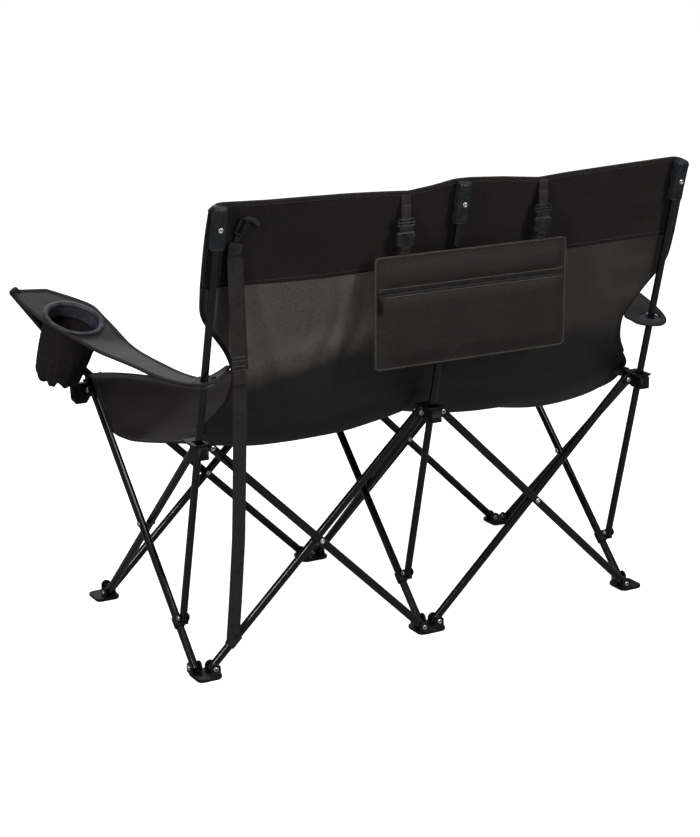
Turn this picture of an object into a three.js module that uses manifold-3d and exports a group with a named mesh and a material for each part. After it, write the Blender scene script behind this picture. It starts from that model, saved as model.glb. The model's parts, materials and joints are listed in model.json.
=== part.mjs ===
// Folding camping loveseat: a fabric sling for two on a scissor frame of steel tubes.
// Millimetres, +Z up. The sitters face -Y and +X is on their left.
// Rows run left to right: a rear row and a front row of three feet and three hubs each.

import * as THREE from 'three';
import { mergeVertices } from 'three/addons/utils/BufferGeometryUtils.js';
import Module from 'manifold-3d';

const wasm = await Module();
wasm.setup();

// Frame: every crossing tube has the same length between its end pivots.
const frame = {
  span: 446,
  rise: 431,
  crossInset: 20.5,
  sideInset: 23.5,
  pivotHeight: 16.5,
  rearLayer: 8.5,
  frontLayer: -8,
  sideLayer: 8.25,
  rowMiddle: -2.5,
};
const tube = { crossRadius: 8, sideRadius: 7.75, postRadius: 7, sides: 10, capSteps: 2 };
const pin = { radius: 2.8, boreRadius: 3.6, sides: 6, headRadius: 5.2, headHeight: 1.8, sunk: 0.4 };
const gap = 0.3;

const bay = frame.span + 2 * frame.crossInset;
const depth = frame.span + 2 * frame.sideInset;
const hubHeight = frame.pivotHeight + frame.rise;
const rearRow = frame.rowMiddle + depth / 2;
const frontRow = frame.rowMiddle - depth / 2;
const columns = { left: bay, centre: 0, right: -bay };

// Posts lean back through the rear hubs and pivot in clips on the side tubes.
const post = {
  clipAlong: 95,
  clipOffset: 17.5,
  guideBehindRow: 5.5,
  outward: 3,
  topHeight: 893,
};

const colours = {
  powderCoat: '#1c1d1f',
  plastic: '#232427',
  fabric: '#1d1b1b',
  satinFabric: '#2b2928',
  webbing: '#262423',
  steel: '#c9cacc',
};

function material(colour, roughness, metalness) {
  return new THREE.MeshStandardMaterial({ color: colour, roughness, metalness });
}

const looks = {
  tube: () => material(colours.powderCoat, 0.35, 0.3),
  plastic: () => material(colours.plastic, 0.5, 0),
  fabric: () => material(colours.fabric, 0.9, 0),
  satin: () => material(colours.satinFabric, 0.65, 0),
  webbing: () => material(colours.webbing, 0.85, 0),
  rivet: () => material(colours.steel, 0.3, 1),
};

const group = new THREE.Group();

function addPart(name, geometry, look) {
  const mesh = new THREE.Mesh(geometry, look());
  mesh.name = name;
  group.add(mesh);
  return mesh;
}

// Solids and booleans
function toSolid(geometry) {
  const bare = geometry.clone();
  bare.deleteAttribute('normal');
  bare.deleteAttribute('uv');
  const merged = mergeVertices(bare, 1e-4);
  const vertProperties = new Float32Array(merged.attributes.position.array);
  const triVerts = new Uint32Array(merged.index.array);
  return new wasm.Manifold(new wasm.Mesh({ numProp: 3, vertProperties, triVerts }));
}

function toGeometry(solid) {
  const mesh = solid.getMesh();
  const geometry = new THREE.BufferGeometry();
  geometry.setAttribute('position', new THREE.BufferAttribute(new Float32Array(mesh.vertProperties), 3));
  geometry.setIndex(new THREE.BufferAttribute(new Uint32Array(mesh.triVerts), 1));
  geometry.computeVertexNormals();
  return geometry;
}

function join(geometries) {
  return geometries.map(toSolid).reduce((whole, next) => whole.add(next));
}

function cut(solid, geometries) {
  return geometries.map(toSolid).reduce((whole, next) => whole.subtract(next), solid);
}

// Basic shapes, each given by its ends or corners
const up = new THREE.Vector3(0, 1, 0);

function vec(point) {
  return new THREE.Vector3(point[0], point[1], point[2]);
}

function between(geometry, from, to) {
  const start = vec(from);
  const end = vec(to);
  const way = end.clone().sub(start).normalize();
  const turn = new THREE.Quaternion().setFromUnitVectors(up, way);
  const middle = start.add(end).multiplyScalar(0.5);
  geometry.applyMatrix4(new THREE.Matrix4().compose(middle, turn, new THREE.Vector3(1, 1, 1)));
  return geometry;
}

function box(lo, hi) {
  const geometry = new THREE.BoxGeometry(hi[0] - lo[0], hi[1] - lo[1], hi[2] - lo[2]);
  geometry.translate((lo[0] + hi[0]) / 2, (lo[1] + hi[1]) / 2, (lo[2] + hi[2]) / 2);
  return geometry;
}

function rod(from, to, radius, sides) {
  const length = vec(from).distanceTo(vec(to));
  return between(new THREE.CylinderGeometry(radius, radius, length, sides), from, to);
}

function roundedRod(from, to, radius) {
  const length = vec(from).distanceTo(vec(to));
  return between(new THREE.CapsuleGeometry(radius, length, tube.capSteps, tube.sides), from, to);
}

function offset(point, axis, amount) {
  const moved = [...point];
  moved[axis] += amount;
  return moved;
}

function boreAt(point, axis, halfLength) {
  return rod(offset(point, axis, -halfLength), offset(point, axis, halfLength), pin.boreRadius, pin.sides);
}

const alongX = 0;
const alongY = 1;

// Pivot points of the frame in its open position
function footPivot(column, dx, y) {
  return [columns[column] + dx, y, frame.pivotHeight];
}

function hubPivot(column, dx, y) {
  return [columns[column] + dx, y, hubHeight];
}

function middleOf(a, b) {
  return [(a[0] + b[0]) / 2, (a[1] + b[1]) / 2, (a[2] + b[2]) / 2];
}

// Straight frame tubes with rounded plug ends and three rivet bores
function frameTube(name, from, to, axis, radius) {
  const body = join([roundedRod(from, to, radius)]);
  const bores = [from, middleOf(from, to), to].map((point) => boreAt(point, axis, radius * 2));
  addPart(name, toGeometry(cut(body, bores)), looks.tube);
}

// The crossing tubes of one bay in one row, by the columns that they join
const crossTubes = [
  { name: 'rear_left_tube_from_centre', row: rearRow, foot: 'centre', hub: 'left' },
  { name: 'rear_left_tube_from_side', row: rearRow, foot: 'left', hub: 'centre' },
  { name: 'rear_right_tube_from_centre', row: rearRow, foot: 'centre', hub: 'right' },
  { name: 'rear_right_tube_from_side', row: rearRow, foot: 'right', hub: 'centre' },
  { name: 'front_left_tube_from_side', row: frontRow, foot: 'left', hub: 'centre' },
  { name: 'front_right_tube_from_side', row: frontRow, foot: 'right', hub: 'centre' },
  { name: 'front_left_arm_tube', row: frontRow, foot: 'centre', hub: 'left' },
  { name: 'front_right_arm_tube', row: frontRow, foot: 'centre', hub: 'right' },
];

function crossEnds(spec) {
  const way = Math.sign(columns[spec.hub] - columns[spec.foot]);
  const layer = way > 0 ? frame.rearLayer : frame.frontLayer;
  const y = spec.row + layer;
  return {
    way,
    layer,
    from: footPivot(spec.foot, way * frame.crossInset, y),
    to: hubPivot(spec.hub, -way * frame.crossInset, y),
  };
}

// Arm tubes run on past the front hub, then bend up to the armrest's front corner.
const arm = {
  bendOut: 45,
  tipOut: 154,
  tipHeight: 655.5,
  bendRadius: 40,
  bendSteps: 4,
  capLength: 15,
  capWall: 1.6,
};

function armPath(spec) {
  const ends = crossEnds(spec);
  const slope = frame.rise / frame.span;
  const bendX = columns[spec.hub] + ends.way * arm.bendOut;
  const bendZ = hubHeight + (arm.bendOut + frame.crossInset) * slope;
  const bend = [bendX, ends.from[1], bendZ];
  const tip = [columns[spec.hub] + ends.way * arm.tipOut, ends.from[1], arm.tipHeight];
  return { ends, bend, tip };
}

function alongFrom(point, toward, distance) {
  return vec(point).add(vec(toward).sub(vec(point)).normalize().multiplyScalar(distance));
}

function circleShape(radius, sides) {
  const shape = new THREE.Shape();
  for (let i = 0; i < sides; i += 1) {
    const angle = (2 * Math.PI * i) / sides;
    const x = radius * Math.cos(angle);
    const y = radius * Math.sin(angle);
    if (i === 0) shape.moveTo(x, y);
    else shape.lineTo(x, y);
  }
  shape.closePath();
  return shape;
}

function armTube(spec) {
  const { ends, bend, tip } = armPath(spec);
  const path = new THREE.CurvePath();
  const bendStart = alongFrom(bend, ends.to, arm.bendRadius / 2);
  const bendEnd = alongFrom(bend, tip, arm.bendRadius / 2);
  const straight = roundedRod(ends.from, bendStart.toArray(), tube.crossRadius);
  path.add(new THREE.QuadraticBezierCurve3(bendStart, vec(bend), bendEnd));
  const bendSolid = new THREE.ExtrudeGeometry(circleShape(tube.crossRadius, tube.sides), {
    steps: arm.bendSteps,
    bevelEnabled: false,
    extrudePath: path,
  });
  const upper = roundedRod(bendEnd.toArray(), tip, tube.crossRadius);
  const body = join([straight, bendSolid, upper]);
  const bores = [ends.from, middleOf(ends.from, ends.to), ends.to];
  const cutters = bores.map((point) => boreAt(point, alongY, tube.crossRadius * 2));
  addPart(spec.name, toGeometry(cut(body, cutters)), looks.tube);
}

function armTubeCap(spec, name) {
  const { bend, tip } = armPath(spec);
  const inner = tube.crossRadius + gap;
  const outer = inner + arm.capWall;
  const back = -arm.capLength;
  const reach = Math.hypot(tip[0] - bend[0], tip[2] - bend[2]);
  const end = alongFrom(bend, tip, reach + tube.crossRadius + gap + arm.capWall).toArray();
  const mouth = alongFrom(end, bend, -back).toArray();
  const shell = join([rod(mouth, end, outer, tube.sides)]);
  const past = alongFrom(mouth, bend, arm.capLength).toArray();
  const hollow = roundedRod(past, tip, inner);
  addPart(name, toGeometry(cut(shell, [hollow])), looks.plastic);
}

for (const spec of crossTubes) {
  if (spec.name.includes('arm')) {
    armTube(spec);
  } else {
    const ends = crossEnds(spec);
    frameTube(spec.name, ends.from, ends.to, alongY, tube.crossRadius);
  }
}
armTubeCap(crossTubes[6], 'left_arm_tube_cap');
armTubeCap(crossTubes[7], 'right_arm_tube_cap');

// Side tubes cross front to back under each end and under the middle.
const rearSideY = rearRow - frame.sideInset;
const frontSideY = frontRow + frame.sideInset;

for (const side of Object.keys(columns)) {
  const fromRear = footPivot(side, frame.sideLayer, rearSideY);
  const toFront = hubPivot(side, frame.sideLayer, frontSideY);
  frameTube(`${side}_side_tube_from_rear`, fromRear, toFront, alongX, tube.sideRadius);
  const fromFront = footPivot(side, -frame.sideLayer, frontSideY);
  const toRear = hubPivot(side, -frame.sideLayer, rearSideY);
  frameTube(`${side}_side_tube_from_front`, fromFront, toRear, alongX, tube.sideRadius);
}

// Rivets: a shank with a domed head at each end
const headCrown = 0.6;

function rivetGeometry(halfGrip) {
  const top = halfGrip + pin.headHeight;
  const crown = pin.headRadius * headCrown;
  const profile = [
    [0, -top], [crown, -top], [pin.headRadius, -halfGrip], [pin.radius, -halfGrip],
    [pin.radius, halfGrip], [pin.headRadius, halfGrip], [crown, top], [0, top],
  ];
  const points = profile.map(([x, y]) => new THREE.Vector2(x, y));
  return new THREE.LatheGeometry(points, pin.sides);
}

function rivetAcross(centre, axis, halfGrip) {
  const ends = [offset(centre, axis, -halfGrip), offset(centre, axis, halfGrip)];
  return between(rivetGeometry(halfGrip), ends[0], ends[1]);
}

function crossingRivet(name, centre, axis, halfGrip) {
  addPart(name, toGeometry(join([rivetAcross(centre, axis, halfGrip)])), looks.rivet);
}

const layerMiddle = (frame.rearLayer + frame.frontLayer) / 2;
const crossGrip = (frame.rearLayer - frame.frontLayer) / 2 + tube.crossRadius + gap;
const sideGrip = frame.sideLayer + tube.sideRadius + gap;
const crossingHeight = frame.pivotHeight + frame.rise / 2;

for (const [rowName, row] of [['rear', rearRow], ['front', frontRow]]) {
  for (const [bayName, way] of [['left', 1], ['right', -1]]) {
    const centre = [(way * bay) / 2, row + layerMiddle, crossingHeight];
    crossingRivet(`${rowName}_${bayName}_crossing_rivet`, centre, alongY, crossGrip);
  }
}
for (const side of Object.keys(columns)) {
  const centre = [columns[side], (rearSideY + frontSideY) / 2, crossingHeight];
  crossingRivet(`${side}_side_crossing_rivet`, centre, alongX, sideGrip);
}

// Feet: a moulded pad with cheeks that hold the tube ends on their pins
const foot = {
  padHeight: 7.5,
  padEdge: 1.8,
  padSide: 11,
  padBehind: 22,
  padAhead: 33,
  padCorner: 13,
  cheek: 4,
  cheekRadius: 11,
  backBlock: 9,
  cornerSteps: 3,
  sunk: 2,
};

function roundedRectangle(lo, hi, radius) {
  const shape = new THREE.Shape();
  shape.moveTo(lo[0] + radius, lo[1]);
  shape.lineTo(hi[0] - radius, lo[1]);
  shape.absarc(hi[0] - radius, lo[1] + radius, radius, -Math.PI / 2, 0, false);
  shape.lineTo(hi[0], hi[1] - radius);
  shape.absarc(hi[0] - radius, hi[1] - radius, radius, 0, Math.PI / 2, false);
  shape.lineTo(lo[0] + radius, hi[1]);
  shape.absarc(lo[0] + radius, hi[1] - radius, radius, Math.PI / 2, Math.PI, false);
  shape.lineTo(lo[0], lo[1] + radius);
  shape.absarc(lo[0] + radius, lo[1] + radius, radius, Math.PI, 1.5 * Math.PI, false);
  return shape;
}

function slab(lo, hi, radius, bottom, height) {
  const geometry = new THREE.ExtrudeGeometry(roundedRectangle(lo, hi, radius), {
    depth: height,
    bevelEnabled: false,
    curveSegments: foot.cornerSteps,
  });
  geometry.translate(0, 0, bottom);
  return geometry;
}

// A cheek is a round plate on the pivot with a straight root down or up to the body.
function cheek(pivot, axis, near, far, radius, rootTo) {
  const from = offset(pivot, axis, near);
  const to = offset(pivot, axis, far);
  const disc = rod(from, to, radius, tube.sides);
  const flat = radius * Math.cos(Math.PI / tube.sides);
  const lo = [0, 0, Math.min(pivot[2], rootTo)];
  const hi = [0, 0, Math.max(pivot[2], rootTo)];
  const across = axis === alongX ? alongY : alongX;
  lo[across] = pivot[across] - flat;
  hi[across] = pivot[across] + flat;
  lo[axis] = Math.min(from[axis], to[axis]);
  hi[axis] = Math.max(from[axis], to[axis]);
  return [disc, box(lo, hi)];
}

function pinThrough(pivot, axis, near, far) {
  const ends = [near, far].sort((a, b) => a - b);
  const centre = offset(pivot, axis, (ends[0] + ends[1]) / 2);
  return rivetAcross(centre, axis, (ends[1] - ends[0]) / 2 - pin.sunk);
}

function footPart(name, column, row, crossings) {
  const x = columns[column];
  const inward = row > 0 ? -1 : 1;
  const xs = crossings.map((crossing) => crossing.dx);
  const padLeft = Math.min(...xs, 0) - foot.padSide;
  const padRight = Math.max(...xs, 0) + foot.padSide;
  const reach = crossings.length > 1 ? 0 : frame.crossInset;
  const lo = [x + Math.min(padLeft, -reach), row + (inward < 0 ? -foot.padAhead : -foot.padBehind)];
  const hi = [x + Math.max(padRight, reach), row + (inward < 0 ? foot.padBehind : foot.padAhead)];
  const pieces = [
    slab([lo[0] + foot.padEdge, lo[1] + foot.padEdge], [hi[0] - foot.padEdge, hi[1] - foot.padEdge],
      foot.padCorner - foot.padEdge, 0, foot.padHeight),
    slab(lo, hi, foot.padCorner, foot.padEdge, foot.padHeight - foot.padEdge),
  ];
  const root = foot.padHeight - foot.sunk;
  for (const crossing of crossings) {
    const pivot = footPivot(column, crossing.dx, row + crossing.layer);
    const clear = tube.crossRadius + gap;
    const back = crossing.layer < 0 ? clear + foot.backBlock : clear + foot.cheek;
    pieces.push(...cheek(pivot, alongY, clear, back, foot.cheekRadius, root));
    pieces.push(...cheek(pivot, alongY, -clear, -clear - foot.cheek, foot.cheekRadius, root));
    pieces.push(pinThrough(pivot, alongY, -clear - foot.cheek, back));
  }
  const sideX = row > 0 ? frame.sideLayer : -frame.sideLayer;
  const sidePivot = footPivot(column, sideX, row + inward * frame.sideInset);
  const sideClear = tube.sideRadius + gap;
  const sideFar = sideClear + foot.cheek;
  pieces.push(...cheek(sidePivot, alongX, sideClear, sideFar, foot.cheekRadius, root));
  pieces.push(...cheek(sidePivot, alongX, -sideClear, -sideFar, foot.cheekRadius, root));
  pieces.push(pinThrough(sidePivot, alongX, -sideFar, sideFar));
  addPart(name, toGeometry(join(pieces)), looks.plastic);
}

// The crossing tubes at a foot or hub: one on the way to each neighbouring column
function crossingsAt(column, atFoot) {
  const found = [];
  for (const other of Object.keys(columns)) {
    const distance = columns[other] - columns[column];
    if (Math.abs(distance) !== bay) continue;
    const way = Math.sign(distance);
    const rising = atFoot ? way : -way;
    const layer = rising > 0 ? frame.rearLayer : frame.frontLayer;
    found.push({ dx: way * frame.crossInset, layer });
  }
  return found;
}

for (const side of Object.keys(columns)) {
  footPart(`rear_${side}_foot`, side, rearRow, crossingsAt(side, true));
  footPart(`front_${side}_foot`, side, frontRow, crossingsAt(side, true));
}

// Hubs: cheeks and pins for the upper tube ends; the rear ones guide a post in a long slot.
const hub = {
  cheek: 4,
  crossRadius: 11,
  sideRadius: 8.2,
  sleeveInnerX: 7.75,
  sleeveWall: 3.4,
  slotAhead: 12,
  slotBehind: 20,
  slotWall: 3,
  bottom: -17,
  top: 22,
  flange: 4,
  flangeSide: 26,
  flangeAhead: 33,
  flangeBehind: 30,
  flangeCorner: 8,
  barThick: 5,
  barHeight: 8.5,
};

function sidePins(column, row, atRear) {
  const inward = atRear ? -1 : 1;
  const dx = atRear ? -frame.sideLayer : frame.sideLayer;
  const pivot = hubPivot(column, dx, row + inward * frame.sideInset);
  return { pivot, inward };
}

// Where the post runs at the height of the hub, in its open position
function guideAt(column) {
  const x = columns[column] + Math.sign(columns[column]) * post.outward;
  return [x, rearRow + post.guideBehindRow, hubHeight];
}

function sideEars(pivot, inward, bodyY, lowZ) {
  const clear = tube.sideRadius + gap;
  const far = clear + hub.cheek;
  const flat = hub.sideRadius * Math.cos(Math.PI / tube.sides);
  const pieces = [];
  for (const way of [1, -1]) {
    pieces.push(rod(offset(pivot, alongX, way * clear), offset(pivot, alongX, way * far),
      hub.sideRadius, tube.sides));
    const xs = [pivot[0] + way * clear, pivot[0] + way * far].sort((a, b) => a - b);
    const ys = [pivot[1], bodyY].sort((a, b) => a - b);
    pieces.push(box([xs[0], ys[0], pivot[2] + lowZ], [xs[1], ys[1], pivot[2] + flat]));
  }
  pieces.push(pinThrough(pivot, alongX, -far, far));
  const barNear = pivot[1] - inward * clear;
  const ys = [barNear, barNear - inward * hub.barThick].sort((a, b) => a - b);
  pieces.push(box([pivot[0] - far, ys[0], pivot[2] + lowZ], [pivot[0] + far, ys[1], pivot[2] + flat]));
  return pieces;
}

// The cheek of a crossing tube stands on the side of the tube that faces the row's middle.
function crossCheek(column, crossing, row, bodyX) {
  const pivot = hubPivot(column, crossing.dx, row + crossing.layer);
  const side = crossing.layer < 0 ? 1 : -1;
  const clear = tube.crossRadius + gap;
  const near = side * clear;
  const far = side * (clear + hub.cheek);
  const from = offset(pivot, alongY, near);
  const to = offset(pivot, alongY, far);
  const xs = [pivot[0], bodyX].sort((a, b) => a - b);
  const ys = [from[1], to[1]].sort((a, b) => a - b);
  const flat = hub.crossRadius * Math.cos(Math.PI / tube.sides);
  return [
    rod(from, to, hub.crossRadius, tube.sides),
    box([xs[0], ys[0], pivot[2] - flat], [xs[1], ys[1], pivot[2] + flat]),
    pinThrough(pivot, alongY, far, -near - Math.sign(near) * pin.sunk),
  ];
}

function rearHub(column) {
  const guide = guideAt(column);
  const x = guide[0];
  const outerX = hub.sleeveInnerX + hub.sleeveWall;
  const slotLo = [x - hub.sleeveInnerX, guide[1] - hub.slotAhead];
  const slotHi = [x + hub.sleeveInnerX, guide[1] + hub.slotBehind];
  const bottom = hubHeight + hub.bottom;
  const top = hubHeight + hub.top;
  const pieces = [
    slab([x - outerX, slotLo[1] - hub.slotWall], [x + outerX, slotHi[1] + hub.slotWall],
      hub.slotWall, bottom, top - bottom + hub.flange),
    slab([x - hub.flangeSide, rearRow - hub.flangeAhead], [x + hub.flangeSide, rearRow + hub.flangeBehind],
      hub.flangeCorner, top, hub.flange),
  ];
  for (const crossing of crossingsAt(column, false)) {
    pieces.push(...crossCheek(column, crossing, rearRow, x));
  }
  const { pivot, inward } = sidePins(column, rearRow, true);
  pieces.push(...sideEars(pivot, inward, slotLo[1] - hub.slotWall / 2, -hub.barHeight));
  const slot = slab(slotLo, slotHi, hub.slotWall, bottom - hub.flange, top - bottom + 3 * hub.flange);
  addPart(`rear_${column}_hub`, toGeometry(cut(join(pieces), [slot])), looks.plastic);
}

const frontHubSize = {
  halfX: 11,
  halfY: 12,
  low: -16,
  underArm: -3.5,
  top: 12,
  lugTop: 20.7,
  bootIn: 4,
  bootOut: 44,
  bootLow: -41,
  bootTop: 9,
};

function frontHub(column) {
  const x = columns[column];
  const crossings = crossingsAt(column, false);
  const size = frontHubSize;
  const armSide = crossings.length === 1 ? Math.sign(crossings[0].layer) : 0;
  const freeLo = armSide > 0 ? -size.halfY : armSide < 0 ? gap : -size.halfY;
  const freeHi = armSide < 0 ? size.halfY : armSide > 0 ? gap : size.halfY;
  const middle = hubHeight + size.underArm;
  const pieces = [
    box([x - size.halfX, frontRow - size.halfY, hubHeight + size.low],
      [x + size.halfX, frontRow + size.halfY, middle]),
    box([x - size.halfX, frontRow + freeLo, hubHeight + size.low],
      [x + size.halfX, frontRow + freeHi, hubHeight + size.top]),
  ];
  for (const crossing of crossings) {
    pieces.push(...crossCheek(column, crossing, frontRow, x));
  }
  const { pivot, inward } = sidePins(column, frontRow, false);
  const bodyY = frontRow + size.halfY - gap;
  const raised = armSide === 0 ? -hub.barHeight : size.low;
  pieces.push(...frontEars(pivot, inward, bodyY, raised, armSide === 0));
  if (armSide !== 0) pieces.push(...cornerBoot(x, Math.sign(x), freeLo, freeHi));
  addPart(`front_${column}_hub`, toGeometry(join(pieces)), looks.plastic);
}

function frontEars(pivot, inward, bodyY, lowZ, fullBar) {
  const clear = tube.sideRadius + gap;
  const far = clear + hub.cheek;
  const flat = hub.sideRadius * Math.cos(Math.PI / tube.sides);
  const barTop = fullBar ? flat : frontHubSize.underArm;
  const pieces = [];
  for (const way of [1, -1]) {
    pieces.push(rod(offset(pivot, alongX, way * clear), offset(pivot, alongX, way * far),
      hub.sideRadius, tube.sides));
    const xs = [pivot[0] + way * clear, pivot[0] + way * far].sort((a, b) => a - b);
    const nearEnd = pivot[1] - inward * (tube.sideRadius + gap);
    pieces.push(box([xs[0], Math.min(pivot[1], nearEnd), pivot[2] + lowZ],
      [xs[1], Math.max(pivot[1], nearEnd), pivot[2] + barTop]));
  }
  const ys = [bodyY, pivot[1] - inward * clear].sort((a, b) => a - b);
  pieces.push(box([pivot[0] - far, ys[0] - hub.barThick / 2, pivot[2] + lowZ],
    [pivot[0] + far, ys[1], pivot[2] + barTop]));
  pieces.push(pinThrough(pivot, alongX, -far, far));
  return pieces;
}

// The outer front corners: a lug under the seat's corner and the boot that hangs outside it
function cornerBoot(x, out, freeLo, freeHi) {
  const size = frontHubSize;
  const xs = [x + out * size.bootIn, x + out * size.bootOut].sort((a, b) => a - b);
  const lugs = [x - size.halfX, x + size.halfX];
  const lugIn = [lugs[0] - (out > 0 ? size.halfX : 0), lugs[1] + (out > 0 ? 0 : size.halfX)];
  return [
    box([xs[0], frontRow + freeLo, hubHeight + size.bootLow],
      [xs[1], frontRow + freeHi, hubHeight + size.bootTop]),
    box([lugIn[0], frontRow + freeLo, hubHeight + size.top - foot.sunk],
      [lugIn[1], frontRow + freeHi, hubHeight + size.lugTop]),
  ];
}

for (const side of Object.keys(columns)) {
  rearHub(side);
  frontHub(side);
}

// Posts, their clips on the side tubes and their top caps
const lean = postLean();

function postFoot(column) {
  const angle = Math.atan2(frame.span, frame.rise);
  const y = rearSideY - post.clipAlong * Math.sin(angle) + post.clipOffset * Math.cos(angle);
  const z = frame.pivotHeight + post.clipAlong * Math.cos(angle) + post.clipOffset * Math.sin(angle);
  return [columns[column] + Math.sign(columns[column]) * post.outward, y, z];
}

function postLean() {
  const from = postFoot('centre');
  const to = guideAt('centre');
  return Math.atan2(to[1] - from[1], to[2] - from[2]);
}

function postAt(column, z) {
  const from = postFoot(column);
  return [from[0], from[1] + (z - from[2]) * Math.tan(lean), z];
}

function postPart(column) {
  const from = postFoot(column);
  const body = join([roundedRod(from, postAt(column, post.topHeight), tube.postRadius)]);
  const bore = boreAt(from, alongX, tube.postRadius * 2);
  addPart(`${column}_post`, toGeometry(cut(body, [bore])), looks.tube);
}

const clip = { halfLength: 11, ringWall: 2.6, plate: 2.1, earThick: 3, earRadius: 7.5 };

function clipPart(column) {
  const tubeX = columns[column] + frame.sideLayer;
  const pivot = postFoot(column);
  const inner = tube.sideRadius + gap;
  const outer = inner + clip.ringWall;
  const angle = Math.atan2(frame.span, frame.rise);
  // Local frame: y across the tube towards the post, z along the tube
  const turn = new THREE.Matrix4().makeRotationX(angle);
  const shift = [tubeX, rearSideY - post.clipAlong * Math.sin(angle),
    frame.pivotHeight + post.clipAlong * Math.cos(angle)];
  const place = (geometry) => {
    geometry.applyMatrix4(turn);
    geometry.translate(shift[0], shift[1], shift[2]);
    return geometry;
  };
  const ring = rod([0, 0, -clip.halfLength], [0, 0, clip.halfLength], outer, tube.sides);
  const px = pivot[0] - tubeX;
  const earIn = tube.postRadius + gap;
  const earOut = earIn + clip.earThick;
  const lo = Math.min(px - earOut, -outer);
  const hi = Math.max(px + earOut, outer);
  const pieces = [
    ring,
    box([lo, inner - clip.plate, -clip.halfLength], [hi, inner + clip.plate, clip.halfLength]),
    rod([px - earOut, post.clipOffset, 0], [px - earIn, post.clipOffset, 0], clip.earRadius, tube.sides),
    rod([px + earIn, post.clipOffset, 0], [px + earOut, post.clipOffset, 0], clip.earRadius, tube.sides),
    box([px - earOut, inner, -clip.earRadius], [px - earIn, post.clipOffset, clip.earRadius]),
    box([px + earIn, inner, -clip.earRadius], [px + earOut, post.clipOffset, clip.earRadius]),
    rivetAcross([px, post.clipOffset, 0], alongX, earOut - pin.sunk),
  ].map(place);
  const bore = place(rod([0, 0, -2 * clip.halfLength], [0, 0, 2 * clip.halfLength], inner, tube.sides * 2));
  addPart(`${column}_post_clip`, toGeometry(cut(join(pieces), [bore])), looks.plastic);
}

const cap = { length: 78, lidHeight: 4, halfX: 15, ahead: 10.5, behind: 12, corner: 5, rivetDown: 36 };

function capPart(column) {
  const top = postAt(column, post.topHeight);
  const reach = tube.postRadius + gap;
  const lid = reach + cap.lidHeight;
  const body = slab([-cap.halfX, -cap.ahead], [cap.halfX, cap.behind], cap.corner, lid - cap.length, cap.length);
  const hollow = roundedRod([0, 0, -2 * cap.length], [0, 0, 0], reach);
  const head = rivetAcross([0, 0, -cap.rivetDown + lid], alongY, cap.behind - pin.sunk);
  const place = (geometry) => {
    geometry.rotateX(-lean);
    geometry.translate(top[0], top[1], top[2]);
    return geometry;
  };
  const headOnly = box([-cap.halfX, cap.behind - 2 * pin.sunk, -cap.length], [cap.halfX, 2 * cap.behind, lid]);
  const headSolid = toSolid(place(head)).intersect(toSolid(place(headOnly)));
  const shell = cut(join([place(body)]), [place(hollow)]);
  addPart(`${column}_post_cap`, toGeometry(shell.add(headSolid)), looks.plastic);
}

for (const side of Object.keys(columns)) {
  postPart(side);
  clipPart(side);
  capPart(side);
}

// Cloth solids: a grid of points thickened along its normals
const cloth = { thickness: 3, armThickness: 4 };

function gridNormal(grid, i, j) {
  const rows = grid.length;
  const count = grid[0].length;
  const alongRow = grid[i][Math.min(j + 1, count - 1)].clone().sub(grid[i][Math.max(j - 1, 0)]);
  const alongColumn = grid[Math.min(i + 1, rows - 1)][j].clone().sub(grid[Math.max(i - 1, 0)][j]);
  return alongRow.cross(alongColumn).normalize();
}

function clothSolid(grid, thickness) {
  const rows = grid.length;
  const count = grid[0].length;
  const positions = [];
  for (const way of [0.5, -0.5]) {
    for (let i = 0; i < rows; i += 1) {
      for (let j = 0; j < count; j += 1) {
        const point = grid[i][j].clone().addScaledVector(gridNormal(grid, i, j), way * thickness);
        positions.push(point.x, point.y, point.z);
      }
    }
  }
  const index = [];
  const at = (layer, i, j) => layer * rows * count + i * count + j;
  const quad = (a, b, c, d) => index.push(a, b, c, a, c, d);
  for (let i = 0; i + 1 < rows; i += 1) {
    for (let j = 0; j + 1 < count; j += 1) {
      quad(at(0, i, j), at(0, i, j + 1), at(0, i + 1, j + 1), at(0, i + 1, j));
      quad(at(1, i, j), at(1, i + 1, j), at(1, i + 1, j + 1), at(1, i, j + 1));
    }
  }
  for (let j = 0; j + 1 < count; j += 1) {
    quad(at(0, 0, j), at(1, 0, j), at(1, 0, j + 1), at(0, 0, j + 1));
    quad(at(0, rows - 1, j + 1), at(1, rows - 1, j + 1), at(1, rows - 1, j), at(0, rows - 1, j));
  }
  for (let i = 0; i + 1 < rows; i += 1) {
    quad(at(0, i + 1, 0), at(1, i + 1, 0), at(1, i, 0), at(0, i, 0));
    quad(at(0, i, count - 1), at(1, i, count - 1), at(1, i + 1, count - 1), at(0, i + 1, count - 1));
  }
  const geometry = new THREE.BufferGeometry();
  geometry.setAttribute('position', new THREE.Float32BufferAttribute(positions, 3));
  geometry.setIndex(index);
  geometry.computeVertexNormals();
  return geometry;
}

function facingOut(geometry) {
  const solid = toSolid(geometry);
  if (solid.volume() > 0) return geometry;
  const flipped = geometry.clone();
  const order = flipped.index.array;
  for (let i = 0; i < order.length; i += 3) {
    const keep = order[i + 1];
    order[i + 1] = order[i + 2];
    order[i + 2] = keep;
  }
  flipped.computeVertexNormals();
  return flipped;
}

// Sling rows from the front edge over the seat and up the back. Each row holds the half width, then
// depth and height at the side edge, in the middle of a bay and at the centre, then how far the cloth
// comes to a peak at the centre (0 to 1), how much lower the right bay hangs than the left one, and how
// much further the left edge reaches out.
const behindPost = cap.ahead / Math.cos(lean) + gap + cloth.thickness / 2;

function onPost(z) {
  return postAt('centre', z)[1] - behindPost;
}

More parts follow.
